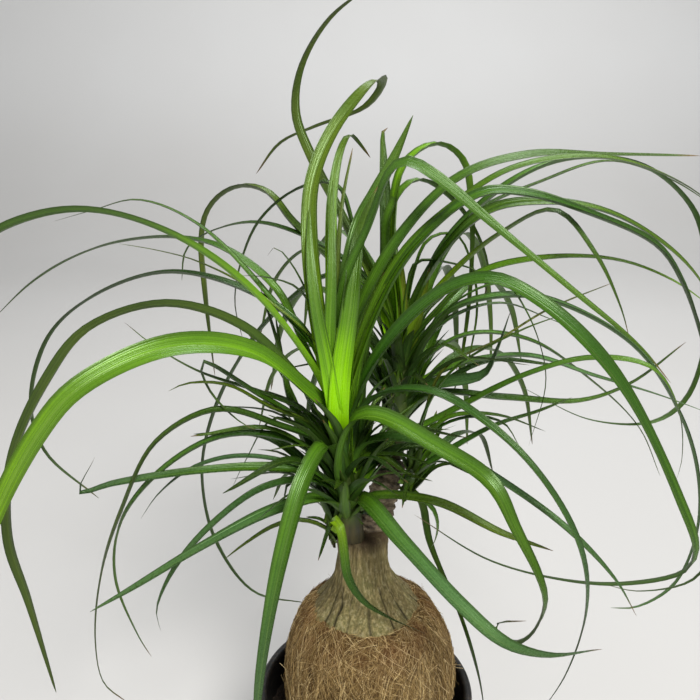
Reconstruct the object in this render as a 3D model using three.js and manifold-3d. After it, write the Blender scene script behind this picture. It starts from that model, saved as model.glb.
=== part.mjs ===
// A potted ponytail palm: a swollen bulb with a short neck in a small black pot, a wrap of coconut
// fibre round the lower bulb, and four crowns of long narrow leaves that arch out on all sides.
// Millimetres, +Z up. The origin is the centre of the pot's flat foot, and -Y is the front.

import * as THREE from 'three';
import { mergeVertices } from 'three/addons/utils/BufferGeometryUtils.js';
import Module from 'manifold-3d';

const wasm = await Module();
wasm.setup();

// ---------------------------------------------------------------- driving dimensions

const GAP = 0.3; // between pieces that touch

// Pot
const POT_HEIGHT = 130;
const RIM_RADIUS = 75;
const FOOT_RADIUS = 54;
const POT_WALL = 2.2;
const ROLL_RADIUS = 3; // the rounded bead round the rim
const FLOOR_THICKNESS = 3;
const DRAIN_RADIUS = 5;
const DRAIN_CIRCLE = 34;
const DRAIN_COUNT = 6;
const DRAIN_SIDES = 10;
const POT_SIDES = 36;

// Bulb and neck
const BULB_RADIUS = 56.6;
const BULB_HEIGHT = POT_HEIGHT + 7; // height of the bulb's widest ring
const BULB_X = 2.2; // the bulb sits a little to the right in its pot
const NECK_RADIUS = 16.5;
const NECK_TOP = POT_HEIGHT + 124;
const BULB_SIDES = 36;
const NECK_LEAN = -4.5; // how far the neck's top leans to the left
// The bulb's outline from its underside to the cut top of the neck: radius, then height over its middle.
const BULB_OUTLINE = [
  [0, -56],
  [22, -52.5],
  [40, -41],
  [50.5, -25],
  [55.4, -11],
  [BULB_RADIUS, 0],
  [55.9, 13],
  [54, 26],
  [51, 36],
  [46.8, 46],
  [41.5, 55],
  [34.5, 62],
  [27.5, 70],
  [21.6, 79],
  [18, 90],
  [16.7, 101],
  [NECK_RADIUS, NECK_TOP - BULB_HEIGHT - 5],
  [NECK_RADIUS - 1.5, NECK_TOP - BULB_HEIGHT],
  [0, NECK_TOP - BULB_HEIGHT],
];

// The stub of branch on the neck's right that carries the back and the right crowns
const BRANCH_FOOT = [2, 3, NECK_TOP - 10];
const BRANCH_TOP = [19, 26, NECK_TOP + 40];
const BRANCH_RADIUS = 9;

// Coconut fibre
const WRAP_THICKNESS = 2.6;
const WRAP_FOOT = POT_HEIGHT - 32;
const WRAP_TOP = POT_HEIGHT + 69; // height of its ragged upper edge
const WRAP_STEPS = 6;
const WRAP_CROWDING = 1.6; // the steps crowd together towards the upper edge by this power

// Soil
const SOIL_TOP = POT_HEIGHT - 22;

// Leaves
const BLADE_STEP = 95; // a new facet along a blade for each of these lengths
const BLADE_BEND = 0.65; // and for each of these angles that it bends through, in radians
const BLADE_MIN_STEPS = 3;
const BLADE_KEEL = 1.3; // thickness of a blade at its midrib
const BLADE_TIP = 0.9; // width left at a blade's point
const BASE_FLARE = 1.25; // how much wider a blade is where it clasps its stem

// Each crown: the foot and the top of its stem, the stem's radius and its leaves' colour.
// A leaf is [heading, width, roll at base, roll at tip, route]. The heading is in degrees seen from above,
// 0 to the right and 90 to the back. The route is a list of [reach, height], with a third number where
// the leaf swings out sideways: reach is from the crown's middle, and height from the floor.
// The leaves are listed from the lowest on the stem to the highest.
const FRONT_CROWN = {
  middle: [-14, -12],
  foot: [-9, -9, NECK_TOP + GAP],
  top: [-14, -12, 326],
  radius: 8,
  leaves: [
    [335, 7, 0, 60, [
      [3, 266, -9], [9, 256, -11], [17, 241, -12], [29, 226, -10], [40, 213, -2], [53, 194, 9]
    ]],
    [212, 12, 0, 0, [[12, 285], [48, 289], [93, 281], [137, 269], [158, 264]]],
    [340, 10, 10, 10, [[17, 286], [58, 292], [98, 280], [128, 275]]],
    [312, 13, 0, 0, [[14, 288], [50, 274], [95, 257], [125, 251], [150, 259], [178, 281]]],
    [205, 9, 0, 0, [[15, 297], [50, 303], [82, 288], [107, 265], [120, 240], [119, 225]]],
    [193, 9, -15, -15, [[20, 302], [47, 310], [93, 313], [136, 311], [156, 308], [145, 329]]],
    [188, 7, 0, 0, [[20, 303], [61, 317], [91, 312], [113, 296], [125, 280]]],
    [190, 9, 0, 0, [
      [20, 316], [46, 330], [76, 331], [109, 313], [135, 282], [142, 245], [133, 201], [126, 182]
    ]],
    [240, 12, 0, 0, [[10, 315], [22, 329], [43, 318], [67, 282], [85, 240], [95, 205], [99, 165]]],
    [335, 11, 0, 0, [[15, 324], [57, 331], [93, 319], [135, 297], [163, 273], [176, 254]]],
    [196, 8, 0, 0, [
      [15, 322], [41, 338], [76, 352], [110, 337], [133, 296], [148, 257], [156, 210], [154, 180],
      [142, 162]
    ]],
    [186, 5, 0, 0, [[20, 328], [42, 340], [61, 312], [70, 294]]],
    [150, 8, 0, 0, [[8, 302], [25, 312], [37, 334], [44, 361], [49, 397]]],
    [345, 9, 0, 0, [[10, 311], [21, 316], [40, 306], [55, 304]]],
    [90, 9, 0, 0, [[4, 296, -10], [13, 313, -25], [23, 322, -39]]],
    [350, 8, 0, 0, [[5, 300], [11, 312], [34, 317], [55, 311]]],
    [90, 10, 0, 0, [[3, 308, -7], [9, 336, -16], [18, 352, -25]]],
    [200, 9, 0, 0, [[20, 336], [46, 352], [70, 369], [92, 373], [102, 370]]],
    [194, 9, 0, 0, [[20, 332], [54, 360], [82, 381], [79, 366], [64, 345], [54, 337]]],
    [188, 6, 0, 0, [[20, 340], [44, 355], [85, 373], [110, 391], [123, 404]]],
    [322, 13, 40, 40, [
      [4, 326], [24, 347], [63, 338], [98, 327], [114, 305], [130, 281], [134, 268], [129, 248],
      [119, 236], [106, 232, 4], [104, 234, 10], [115, 232, 26]
    ]],
    [330, 9, 0, 0, [
      [17, 352], [54, 366], [96, 350], [126, 324], [145, 293], [151, 260], [145, 216], [132, 178]
    ]],
    [165, 10, 0, 0, [[13, 302], [29, 328], [37, 350], [41, 377], [51, 416]]],
    [213, 14, -35, -55, [
      [7, 336], [28, 362], [60, 391], [105, 402], [150, 390], [170, 372], [198, 328], [213, 278],
      [216, 235]
    ]],
    [196, 11, -20, -20, [
      [10, 340], [26, 362], [60, 400], [100, 416], [139, 406], [163, 379], [185, 338], [194, 290],
      [189, 247], [182, 180]
    ]],
    [170, 9, 0, 0, [
      [10, 355], [26, 393], [62, 416], [108, 424], [160, 405], [190, 378], [208, 331], [202, 299],
      [168, 268]
    ]],
    [158, 9, 0, 0, [
      [10, 345], [26, 377], [45, 414], [79, 436], [112, 441], [158, 435], [194, 423], [234, 402],
      [275, 372]
    ]],
    [90, 9, 0, 0, [[4, 323, -7], [12, 371, -11], [21, 407, -19]]],
    [172, 8, 0, 0, [[8, 375], [26, 417], [44, 424], [60, 425]]],
    [165, 6, 0, 0, [[10, 380], [26, 422], [35, 436], [41, 441], [46, 436]]],
    [175, 5, 0, 0, [[10, 375], [49, 414], [84, 433], [106, 439], [130, 443]]],
    [183, 11, -25, -20, [
      [9, 346], [21, 374], [52, 417], [93, 449], [133, 463], [166, 461], [200, 446], [235, 403],
      [255, 340]
    ]],
    [168, 7, 0, 0, [[12, 370], [39, 404], [86, 452], [123, 466], [154, 459], [180, 452]]],
    [342, 12, 30, 20, [
      [5, 338], [24, 383], [59, 421], [83, 429], [108, 419], [137, 396], [160, 368], [187, 320],
      [201, 287], [198, 275], [171, 261], [137, 255], [92, 259], [45, 281]
    ]],
    [358, 11, 15, 15, [
      [5, 353], [21, 407], [43, 445], [74, 471], [97, 472], [133, 462], [173, 444], [189, 424],
      [204, 393], [217, 354], [231, 270], [224, 232], [191, 221], [165, 226]
    ]],
    [5, 9, 15, 15, [
      [6, 370], [32, 434], [65, 467], [95, 485], [143, 491], [185, 480], [215, 462], [240, 430]
    ]],
    [12, 13, 30, 10, [
      [3, 370], [12, 406], [36, 449], [67, 479], [108, 491], [158, 491], [218, 490]
    ]],
    [345, 11, 40, 20, [
      [0, 370], [2, 420], [16, 456], [28, 486], [35, 489], [48, 483], [84, 456], [124, 426],
      [162, 397], [179, 379]
    ]],
    [90, 9, 0, 0, [[-1, 343, -3], [7, 388, -10], [23, 426, -24]]],
    [60, 16, 0, 0, [[3, 390], [19, 450], [40, 470], [61, 488], [86, 513]]],
    [80, 4, 0, 0, [[4, 400, 5], [21, 463, 5], [34, 495, 1]]],
    [90, 9, 0, 0, [
      [0, 364, 7], [10, 417, 7], [26, 467, 7], [37, 494, 2], [45, 502, -3], [54, 498, -8],
      [62, 488, -16]
    ]],
    [90, 14, 0, -110, [
      [1, 370, 10], [10, 440, 19], [28, 476, 18], [42, 503, 7], [60, 528, -13], [72, 534, -22],
      [84, 530, -24], [94, 517, -13], [106, 505, 20], [116, 494, 45], [124, 473, 63]
    ]],
    [90, 8, 0, 0, [[-8, 357, 5], [-9, 385, 8], [0, 427, 7]]],
    [90, 9, 0, 0, [[-11, 354, 6], [-12, 379, 10], [-3, 416, 17]]],
    [90, 12, 0, 0, [[-9, 339, 3], [-12, 370, 2], [3, 418, -5]]],
  ],
};

const BACK_CROWN = {
  middle: [23, 32],
  foot: [19, 26, NECK_TOP + 40 + GAP],
  top: [23, 32, 366],
  radius: 8,
  leaves: [
    [92, 9, 0, 0, [[18, 325], [50, 345], [90, 335], [120, 290], [130, 235]]],
    [62, 9, 0, 0, [[18, 328], [50, 350], [95, 345], [130, 300], [145, 240]]],
    [120, 9, 0, 0, [[18, 330], [50, 350], [95, 340], [130, 295], [145, 235]]],
    [42, 9, 0, 0, [[18, 330], [55, 350], [100, 345], [140, 305], [160, 250]]],
    [138, 9, 0, 0, [[18, 332], [50, 352], [90, 350], [125, 320], [145, 270]]],
    [345, 8, 10, 10, [
      [10, 311], [27, 322], [81, 358], [118, 372], [152, 369], [170, 344], [176, 313], [175, 299]
    ]],
    [352, 10, 0, 0, [[19, 336], [67, 337], [115, 338], [145, 352], [174, 381]]],
    [340, 13, 20, 20, [[6, 335], [26, 346], [55, 357], [62, 375], [68, 401]]],
    [52, 10, 0, 0, [[20, 345], [60, 385], [110, 395], [155, 365], [185, 310]]],
    [100, 10, 0, 0, [[18, 350], [60, 385], [110, 385], [150, 340], [170, 280]]],
    [70, 10, 0, 0, [[18, 352], [60, 395], [115, 400], [160, 360], [185, 290]]],
    [124, 10, 0, 0, [[18, 348], [60, 380], [115, 385], [160, 345], [185, 280]]],
    [0, 9, 0, 0, [[12, 342], [42, 358], [83, 363], [125, 350], [169, 337], [205, 324]]],
    [5, 7, 0, 0, [[12, 355], [41, 376], [84, 372], [130, 342], [167, 307], [188, 268]]],
    [350, 10, 0, 0, [
      [6, 360], [30, 394], [59, 405], [91, 404], [141, 379], [173, 338], [191, 292], [195, 250],
      [186, 212], [165, 192], [149, 189]
    ]],
    [10, 7, 0, 0, [[10, 368], [38, 390], [67, 396], [98, 385], [116, 377]]],
    [345, 10, 10, 10, [
      [6, 370], [23, 395], [47, 420], [86, 432], [126, 433], [157, 423], [178, 410]
    ]],
    [60, 9, 0, 0, [[18, 370], [50, 412], [95, 430], [140, 405], [170, 350], [180, 300]]],
    [115, 9, 0, 0, [[16, 372], [50, 415], [100, 430], [150, 395], [175, 330]]],
    [85, 9, 0, 0, [[15, 376], [45, 425], [90, 445], [135, 420], [165, 360]]],
    [132, 8, 0, 0, [[15, 372], [45, 412], [90, 422], [135, 392], [160, 340]]],
    [350, 4, 0, 0, [[30, 398], [62, 414], [75, 400], [88, 372], [92, 350], [85, 307]]],
    [90, 9, 0, 0, [[0, 384, 0], [-2, 401, 0], [-2, 426, 1]]],
    [90, 9, 0, 0, [[-1, 384, -8], [-2, 399, -11], [-3, 423, -16]]],
    [335, 10, 10, 10, [
      [8, 385], [30, 418], [60, 447], [89, 462], [113, 440], [130, 411], [137, 393]
    ]],
    [176, 9, 0, 0, [
      [10, 390], [43, 416], [79, 393], [110, 353], [131, 305], [137, 269], [130, 220], [104, 178],
      [66, 170]
    ]],
    [352, 13, 15, 15, [
      [8, 395], [25, 431], [51, 457], [84, 463], [120, 458], [154, 440], [176, 420], [195, 390]
    ]],
    [165, 9, 0, 0, [[12, 395], [38, 424], [94, 446], [131, 439], [149, 426], [154, 405]]],
    [160, 12, 0, 0, [
      [15, 385], [45, 418], [78, 447], [93, 464], [110, 468], [126, 462], [138, 449], [143, 430],
      [143, 396], [140, 332]
    ]],
    [172, 8, 0, 0, [
      [12, 400], [32, 445], [43, 472], [65, 470], [90, 451], [104, 424], [110, 396], [106, 370]
    ]],
    [355, 8, 0, 0, [[3, 405], [8, 425], [30, 425], [49, 418], [53, 403]]],
    [15, 5, 0, 0, [[8, 420], [17, 439], [34, 441], [45, 423], [51, 391], [44, 339]]],
    [12, 7, 0, 0, [[10, 400], [42, 451], [92, 474], [134, 485], [179, 473], [215, 455]]],
    [5, 9, 0, 0, [
      [8, 390], [26, 436], [67, 474], [101, 487], [147, 483], [182, 457], [198, 420], [205, 370],
      [198, 328], [179, 312], [133, 314], [81, 340]
    ]],
    [25, 10, 0, 0, [[-4, 400], [-10, 455], [7, 475], [32, 463], [54, 438], [64, 414], [62, 395]]],
    [20, 10, 0, 0, [
      [0, 400], [-6, 450], [0, 484], [20, 496], [37, 486], [44, 460], [47, 415], [44, 360],
      [38, 326]
    ]],
    [90, 11, 0, 0, [[2, 388, 8], [16, 442, 10], [36, 487, 12], [44, 503, 12], [48, 505, 9]]],
    [150, 13, 0, 0, [
      [6, 389, 6], [20, 414, 8], [48, 457, 5], [68, 486, 2], [82, 514, -2], [83, 543, -12],
      [71, 572, -28], [50, 594, -50]
    ]],
  ],
};

const RIGHT_CROWN = {
  middle: [29, 5],
  foot: [25, 7, 272],
  top: [29, 5, 300],
  radius: 5,
  leaves: [
    [50, 8, 0, 0, [[12, 284], [45, 300], [85, 290], [110, 250]]],
    [20, 9, 0, 0, [[4, 274], [13, 239], [39, 177], [60, 112], [68, 75]]],
    [330, 6, 0, 0, [[8, 275], [15, 271], [19, 261], [18, 249], [15, 241]]],
    [60, 9, 0, 0, [[3, 292], [21, 301], [31, 311], [38, 323]]],
    [5, 8, 0, 0, [[12, 298], [52, 323], [81, 333], [102, 342]]],
    [10, 8, 0, 0, [[3, 296], [12, 306], [18, 320], [22, 335]]],
    [350, 5, 0, 0, [[8, 312], [17, 326], [38, 335], [56, 332], [66, 318], [71, 310]]],
    [345, 7, 0, 0, [[11, 320], [23, 334], [52, 339], [81, 332]]],
    [1, 5, 0, 0, [[10, 340], [25, 364], [65, 389], [90, 399]]],
    [15, 4, 0, 0, [[8, 330], [20, 362], [57, 379], [89, 396], [134, 411]]],
  ],
};

const LEFT_CROWN = {
  middle: [-19, 5],
  foot: [-21, 5, 238],
  top: [-26, 6, 262],
  radius: 4.5,
  leaves: [
    [190, 6, 0, 0, [[8, 252], [24, 260], [41, 258], [61, 247], [75, 237]]],
    [128, 8, 0, 0, [[10, 262], [30, 275], [58, 268], [80, 238]]],
    [205, 6, 0, 0, [[9, 270], [22, 293], [33, 293], [37, 279]]],
    [190, 8, 0, 0, [[11, 283], [26, 302], [38, 311], [50, 314]]],
    [165, 8, 0, 0, [[12, 275], [22, 320], [38, 360], [60, 385]]],
    [110, 8, 0, 0, [[8, 275], [16, 325], [30, 365], [50, 385]]],
    [195, 7, 0, 0, [[12, 275], [20, 310], [34, 340], [55, 352]]],
  ],
};

// ---------------------------------------------------------------- solids

// A closed mesh becomes a solid that can be joined to others and cut.
function toSolid(geometry) {
  const bare = geometry.clone();
  bare.deleteAttribute('normal');
  bare.deleteAttribute('uv');
  const merged = mergeVertices(bare, 1e-4);
  return new wasm.Manifold(new wasm.Mesh({
    numProp: 3,
    vertProperties: Float32Array.from(merged.attributes.position.array),
    triVerts: Uint32Array.from(merged.index.array),
  }));
}

function toGeometry(solid) {
  const mesh = solid.getMesh();
  const geometry = new THREE.BufferGeometry();
  geometry.setAttribute('position', new THREE.BufferAttribute(mesh.vertProperties, 3));
  geometry.setIndex(new THREE.BufferAttribute(mesh.triVerts, 1));
  geometry.computeVertexNormals();
  return geometry;
}

// The largest shell of a solid: what fusing seals inside it is filled, and loose scraps are dropped.
function outerShell(solid) {
  return solid.decompose().reduce((a, b) => (a.volume() > b.volume() ? a : b));
}

// A turned solid about the upright axis, from an outline of [radius, height].
function turned(outline, sides) {
  const points = outline.map(([radius, height]) => new THREE.Vector2(radius, height));
  return new THREE.LatheGeometry(points, sides).rotateX(Math.PI / 2);
}

// Joins sections of equally many points, each going once round, and caps both ends or closes the ring.
function loft(sections, ring = false) {
  const count = sections[0].length;
  const index = [];
  const last = ring ? sections.length : sections.length - 1;
  for (let i = 0; i < last; i += 1) {
    const here = i * count;
    const next = ((i + 1) % sections.length) * count;
    for (let j = 0; j < count; j += 1) {
      const k = (j + 1) % count;
      index.push(here + j, here + k, next + k);
      index.push(here + j, next + k, next + j);
    }
  }
  if (!ring) {
    const end = (sections.length - 1) * count;
    for (let j = 1; j < count - 1; j += 1) {
      index.push(0, j + 1, j);
      index.push(end, end + j, end + j + 1);
    }
  }
  const geometry = new THREE.BufferGeometry().setFromPoints(sections.flat());
  geometry.setIndex(index);
  return geometry;
}

// A round stem between two points.
function stem(foot, top, footRadius, topRadius, sides) {
  const from = new THREE.Vector3(...foot);
  const along = new THREE.Vector3(...top).sub(from);
  const geometry = new THREE.CylinderGeometry(topRadius, footRadius, along.length(), sides);
  geometry.translate(0, along.length() / 2, 0);
  geometry.applyQuaternion(
    new THREE.Quaternion().setFromUnitVectors(new THREE.Vector3(0, 1, 0), along.clone().normalize()),
  );
  return geometry.translate(from.x, from.y, from.z);
}

// ---------------------------------------------------------------- pot and soil

// Radius of the pot's outer wall at a height.
function potRadius(height) {
  return THREE.MathUtils.mapLinear(height, 0, POT_HEIGHT, FOOT_RADIUS, RIM_RADIUS - ROLL_RADIUS * 0.8);
}

function potSolid() {
  const beadHeight = POT_HEIGHT - ROLL_RADIUS;
  const beadMiddle = RIM_RADIUS - ROLL_RADIUS;
  const outline = [
    [0, 0],
    [FOOT_RADIUS - 2, 0],
    [FOOT_RADIUS, 2],
    [potRadius(POT_HEIGHT * 0.5), POT_HEIGHT * 0.5],
    [potRadius(beadHeight - ROLL_RADIUS), beadHeight - ROLL_RADIUS],
  ];
  for (let i = -1; i <= 4; i += 1) {
    const turn = (i * Math.PI) / 4;
    outline.push([beadMiddle + ROLL_RADIUS * Math.cos(turn), beadHeight + ROLL_RADIUS * Math.sin(turn)]);
  }
  outline.push(
    [potRadius(beadHeight - ROLL_RADIUS) - POT_WALL, beadHeight - ROLL_RADIUS],
    [potRadius(FLOOR_THICKNESS) - POT_WALL, FLOOR_THICKNESS],
    [0, FLOOR_THICKNESS],
  );
  let pot = toSolid(turned(outline, POT_SIDES));
  for (let i = 0; i < DRAIN_COUNT; i += 1) {
    const turn = (i / DRAIN_COUNT) * Math.PI * 2;
    const x = DRAIN_CIRCLE * Math.cos(turn);
    const y = DRAIN_CIRCLE * Math.sin(turn);
    const above = FLOOR_THICKNESS + 1;
    pot = pot.subtract(toSolid(stem([x, y, -1], [x, y, above], DRAIN_RADIUS, DRAIN_RADIUS, DRAIN_SIDES)));
  }
  return pot;
}

// The soil fills the pot to a little under the rim, with a plain hollow for the bulb and its wrap.
function soilSolid() {
  const bottom = FLOOR_THICKNESS + GAP;
  const inside = (height) => potRadius(height) - POT_WALL - GAP;
  const outline = [
    [0, bottom],
    [inside(bottom), bottom],
    [inside(SOIL_TOP - 2), SOIL_TOP - 2],
    [inside(SOIL_TOP - 2) - 3, SOIL_TOP],
    [0, SOIL_TOP],
  ];
  const soil = toSolid(turned(outline, POT_SIDES));
  return soil.subtract(bulbSolid(GAP)).subtract(wrapSolid(GAP));
}

// ---------------------------------------------------------------- bulb, neck and branch

// Low swellings run up the bulb, and folds of bark where it narrows into the neck.
function bulbRelief(angle, height) {
  const belly = Math.exp(-((height / 45) ** 2));
  const shoulder = Math.exp(-(((height - 72) / 20) ** 2));
  const swelling = 0.9 * Math.sin(3 * angle + 0.6) + 0.6 * Math.sin(5 * angle + 2);
  const fold = 0.9 * Math.sin(9 * angle + height * 0.04);
  return swelling * belly + fold * shoulder;
}

// The bulb's radius without its relief, read off its outline.
function bulbRadius(height) {
  for (let i = 1; i < BULB_OUTLINE.length; i += 1) {
    const [r0, h0] = BULB_OUTLINE[i - 1];
    const [r1, h1] = BULB_OUTLINE[i];
    if (height <= h1) {
      return THREE.MathUtils.mapLinear(height, h0, h1, r0, r1);
    }
  }
  return 0;
}

// The bulb, its neck and the branch stub, grown outwards by a clearance where it cuts its neighbours.
function bulbSolid(grow) {
  const highest = NECK_TOP - BULB_HEIGHT;
  const outline = BULB_OUTLINE.map(([radius, height]) => [
    radius === 0 ? 0 : radius + grow,
    height + (height >= highest ? grow : 0) - (height < 1 - BULB_RADIUS ? grow : 0),
  ]);
  const geometry = turned(outline, BULB_SIDES);
  const position = geometry.attributes.position;
  for (let i = 0; i < position.count; i += 1) {
    const x = position.getX(i);
    const y = position.getY(i);
    const radius = Math.hypot(x, y);
    if (radius > 1) {
      const share = 1 + bulbRelief(Math.atan2(y, x), position.getZ(i)) / radius;
      position.setXY(i, x * share, y * share);
    }
  }
  geometry.translate(BULB_X, 0, BULB_HEIGHT);
  // the neck leans to the left of the bulb's middle
  for (let i = 0; i < position.count; i += 1) {
    const share = THREE.MathUtils.clamp((position.getZ(i) - BULB_HEIGHT - 45) / 45, 0, 1);
    position.setX(i, position.getX(i) + NECK_LEAN * share);
  }
  const branch = stem(BRANCH_FOOT, BRANCH_TOP, BRANCH_RADIUS + 1.5 + grow, BRANCH_RADIUS + grow, 12);
  return toSolid(geometry).add(toSolid(branch));
}

// ---------------------------------------------------------------- coconut fibre

// Height of the wrap's upper edge, uneven all round.
function wrapEdge(angle) {
  return WRAP_TOP + 1.8 * Math.sin(5 * angle + 1) + 1.2 * Math.sin(9 * angle);
}

function wrapSolid(grow) {
  const sections = [];
  for (let i = 0; i < BULB_SIDES; i += 1) {
    const angle = (i / BULB_SIDES) * Math.PI * 2;
    const edge = wrapEdge(angle);
    const outside = [];
    const inside = [];
    for (let j = 0; j <= WRAP_STEPS; j += 1) {
      const share = 1 - (1 - j / WRAP_STEPS) ** WRAP_CROWDING;
      const height = THREE.MathUtils.lerp(WRAP_FOOT, edge, share);
      const over = height - BULB_HEIGHT;
      const skin = bulbRadius(over) + bulbRelief(angle, over);
      const lift = (j === 0 ? -grow : 0) + (j === WRAP_STEPS ? grow : 0);
      const at = (radius) => new THREE.Vector3(
        BULB_X + radius * Math.cos(angle),
        radius * Math.sin(angle),
        height + lift,
      );
      const thickness = j === WRAP_STEPS ? WRAP_THICKNESS * 0.5 : WRAP_THICKNESS;
      outside.unshift(at(skin + thickness + GAP + grow));
      if (j === 0 || j === WRAP_STEPS) {
        inside.push(at(skin - WRAP_THICKNESS));
      }
    }
    sections.push([...outside, ...inside]);
  }
  return toSolid(loft(sections, true));
}

// ---------------------------------------------------------------- leaves

// A leaf's route: out of its stem, then through the listed points in the upright plane of its heading.
function leafRoute(crown, leaf, place) {
  const [heading, , , , points] = leaf;
  const turn = THREE.MathUtils.degToRad(heading);
  const foot = new THREE.Vector3(...crown.foot);
  const top = new THREE.Vector3(...crown.top);
  const route = [foot.lerp(top, 0.1 + 0.85 * place)];
  for (const [reach, height, side = 0] of points) {
    route.push(new THREE.Vector3(
      crown.middle[0] + reach * Math.cos(turn) - side * Math.sin(turn),
      crown.middle[1] + reach * Math.sin(turn) + side * Math.cos(turn),
      height,
    ));
  }
  return new THREE.CatmullRomCurve3(route, false, 'centripetal');
}

// Places along a route: a new facet for each BLADE_STEP of its length and for each BLADE_BEND of its bend.
function facetPlaces(curve) {
  const fine = 160;
  const measure = [0];
  const length = curve.getLength();
  let before = curve.getTangentAt(0);
  for (let i = 1; i <= fine; i += 1) {
    const now = curve.getTangentAt(i / fine);
    measure.push(measure[i - 1] + length / fine / BLADE_STEP + before.angleTo(now) / BLADE_BEND);
    before = now;
  }
  const count = Math.max(BLADE_MIN_STEPS, Math.ceil(measure[fine]));
  const places = [];
  let i = 0;
  for (let step = 0; step <= count; step += 1) {
    const wanted = (measure[fine] * step) / count;
    while (i < fine && measure[i] < wanted) {
      i += 1;
    }
    places.push(i / fine);
  }
  return places;
}

// One leaf: a long strip, flat on top with a keel below, widest at its clasping base and pointed at its tip.
function blade(crown, leaf, place) {
  const [heading, width, baseRoll, tipRoll] = leaf;
  const curve = leafRoute(crown, leaf, place);
  const turn = THREE.MathUtils.degToRad(heading);
  const level = new THREE.Vector3(-Math.sin(turn), Math.cos(turn), 0);
  const sections = facetPlaces(curve).map((share) => {
    const point = curve.getPointAt(share);
    const along = curve.getTangentAt(share);
    const side = level.clone().addScaledVector(along, -level.dot(along)).normalize();
    const face = new THREE.Vector3().crossVectors(along, side);
    const roll = THREE.MathUtils.degToRad(THREE.MathUtils.lerp(baseRoll, tipRoll, share));
    const across = side.clone().multiplyScalar(Math.cos(roll)).addScaledVector(face, Math.sin(roll));
    const up = face.multiplyScalar(Math.cos(roll)).addScaledVector(side, -Math.sin(roll));
    const taper = Math.max(0, 1 - share ** 2.6) ** 0.9;
    const flare = THREE.MathUtils.lerp(BASE_FLARE, 1, Math.min(1, share * 8));
    const half = (BLADE_TIP + (width - BLADE_TIP) * taper * flare) / 2;
    const keel = BLADE_KEEL * (0.5 + 0.5 * taper);
    return [
      point.clone().addScaledVector(across, half),
      point.clone().addScaledVector(across, -half),
      point.clone().addScaledVector(up, -keel),
    ];
  });
  return loft(sections);
}

// A crown: its leaves fused to a short stem, kept clear of the wood that it grows from.
function crownSolid(crown, wood) {
  let solid = toSolid(stem(crown.foot, crown.top, crown.radius, crown.radius * 0.75, 10));
  crown.leaves.forEach((leaf, i) => {
    solid = solid.add(toSolid(blade(crown, leaf, (i + 0.5) / crown.leaves.length)));
  });
  return outerShell(solid.subtract(wood));
}

// ---------------------------------------------------------------- the plant

const MATERIALS = {
  pot: { color: 0x0c0c0b, roughness: 0.35, metalness: 0 },
  soil: { color: 0x2a1e16, roughness: 0.95, metalness: 0 },
  bark: { color: 0x6e6a48, roughness: 0.85, metalness: 0 },
  coir: { color: 0x8d7248, roughness: 0.9, metalness: 0 },
  brightLeaf: { color: 0x5f9420, roughness: 0.4, metalness: 0 },
  darkLeaf: { color: 0x3c6a20, roughness: 0.4, metalness: 0 },
};

const plant = new THREE.Group();

function addPiece(name, solid, material) {
  const mesh = new THREE.Mesh(toGeometry(solid), new THREE.MeshStandardMaterial(MATERIALS[material]));
  mesh.name = name;
  plant.add(mesh);
}

const clearOfWood = bulbSolid(GAP);

addPiece('pot', potSolid(), 'pot');
addPiece('soil', soilSolid(), 'soil');
addPiece('bulb', bulbSolid(0), 'bark');
addPiece('coir_wrap', outerShell(wrapSolid(0).subtract(clearOfWood)), 'coir');
addPiece('front_crown', crownSolid(FRONT_CROWN, clearOfWood), 'brightLeaf');
addPiece('back_crown', crownSolid(BACK_CROWN, clearOfWood), 'darkLeaf');
addPiece('right_crown', crownSolid(RIGHT_CROWN, clearOfWood), 'brightLeaf');
addPiece('left_crown', crownSolid(LEFT_CROWN, clearOfWood), 'darkLeaf');

export default plant;
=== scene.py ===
"""A potted ponytail palm: a swollen bulb with a short neck in a small black pot, a wrap of
coconut fibre round the bulb, and four crowns of long narrow leaves.

Sizes are in millimetres, as in the solids, and turned into metres where a mesh is made. The node
groups and the materials work in metres."""

import math
import random

import bpy
import numpy as np
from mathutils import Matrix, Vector, noise


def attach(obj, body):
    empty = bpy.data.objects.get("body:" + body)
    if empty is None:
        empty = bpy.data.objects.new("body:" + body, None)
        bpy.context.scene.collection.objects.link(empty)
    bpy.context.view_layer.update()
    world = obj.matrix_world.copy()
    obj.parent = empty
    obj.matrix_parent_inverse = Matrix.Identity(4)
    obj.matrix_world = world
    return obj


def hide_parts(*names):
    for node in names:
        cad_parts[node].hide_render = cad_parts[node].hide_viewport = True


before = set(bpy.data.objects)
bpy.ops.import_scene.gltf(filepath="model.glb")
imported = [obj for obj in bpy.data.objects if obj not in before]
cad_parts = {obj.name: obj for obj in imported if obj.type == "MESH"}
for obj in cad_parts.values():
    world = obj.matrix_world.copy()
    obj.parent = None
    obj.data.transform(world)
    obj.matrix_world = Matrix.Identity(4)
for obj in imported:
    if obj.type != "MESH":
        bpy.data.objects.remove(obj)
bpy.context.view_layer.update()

MM = 0.001
GAP = 0.3

# Pot
POT_HEIGHT = 130
RIM_RADIUS = 75
FOOT_RADIUS = 54
POT_WALL = 2.2
ROLL_RADIUS = 3
FLOOR_THICKNESS = 3
FLOOR_MIDDLE = 6  # radius of the innermost ring of points, on the floor and under it
UNDERSIDE_RING = 34  # radius of another ring of points on the flat underside
POT_STEP = 104  # height of a faint step below the rim
POT_SIDES = 144

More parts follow.
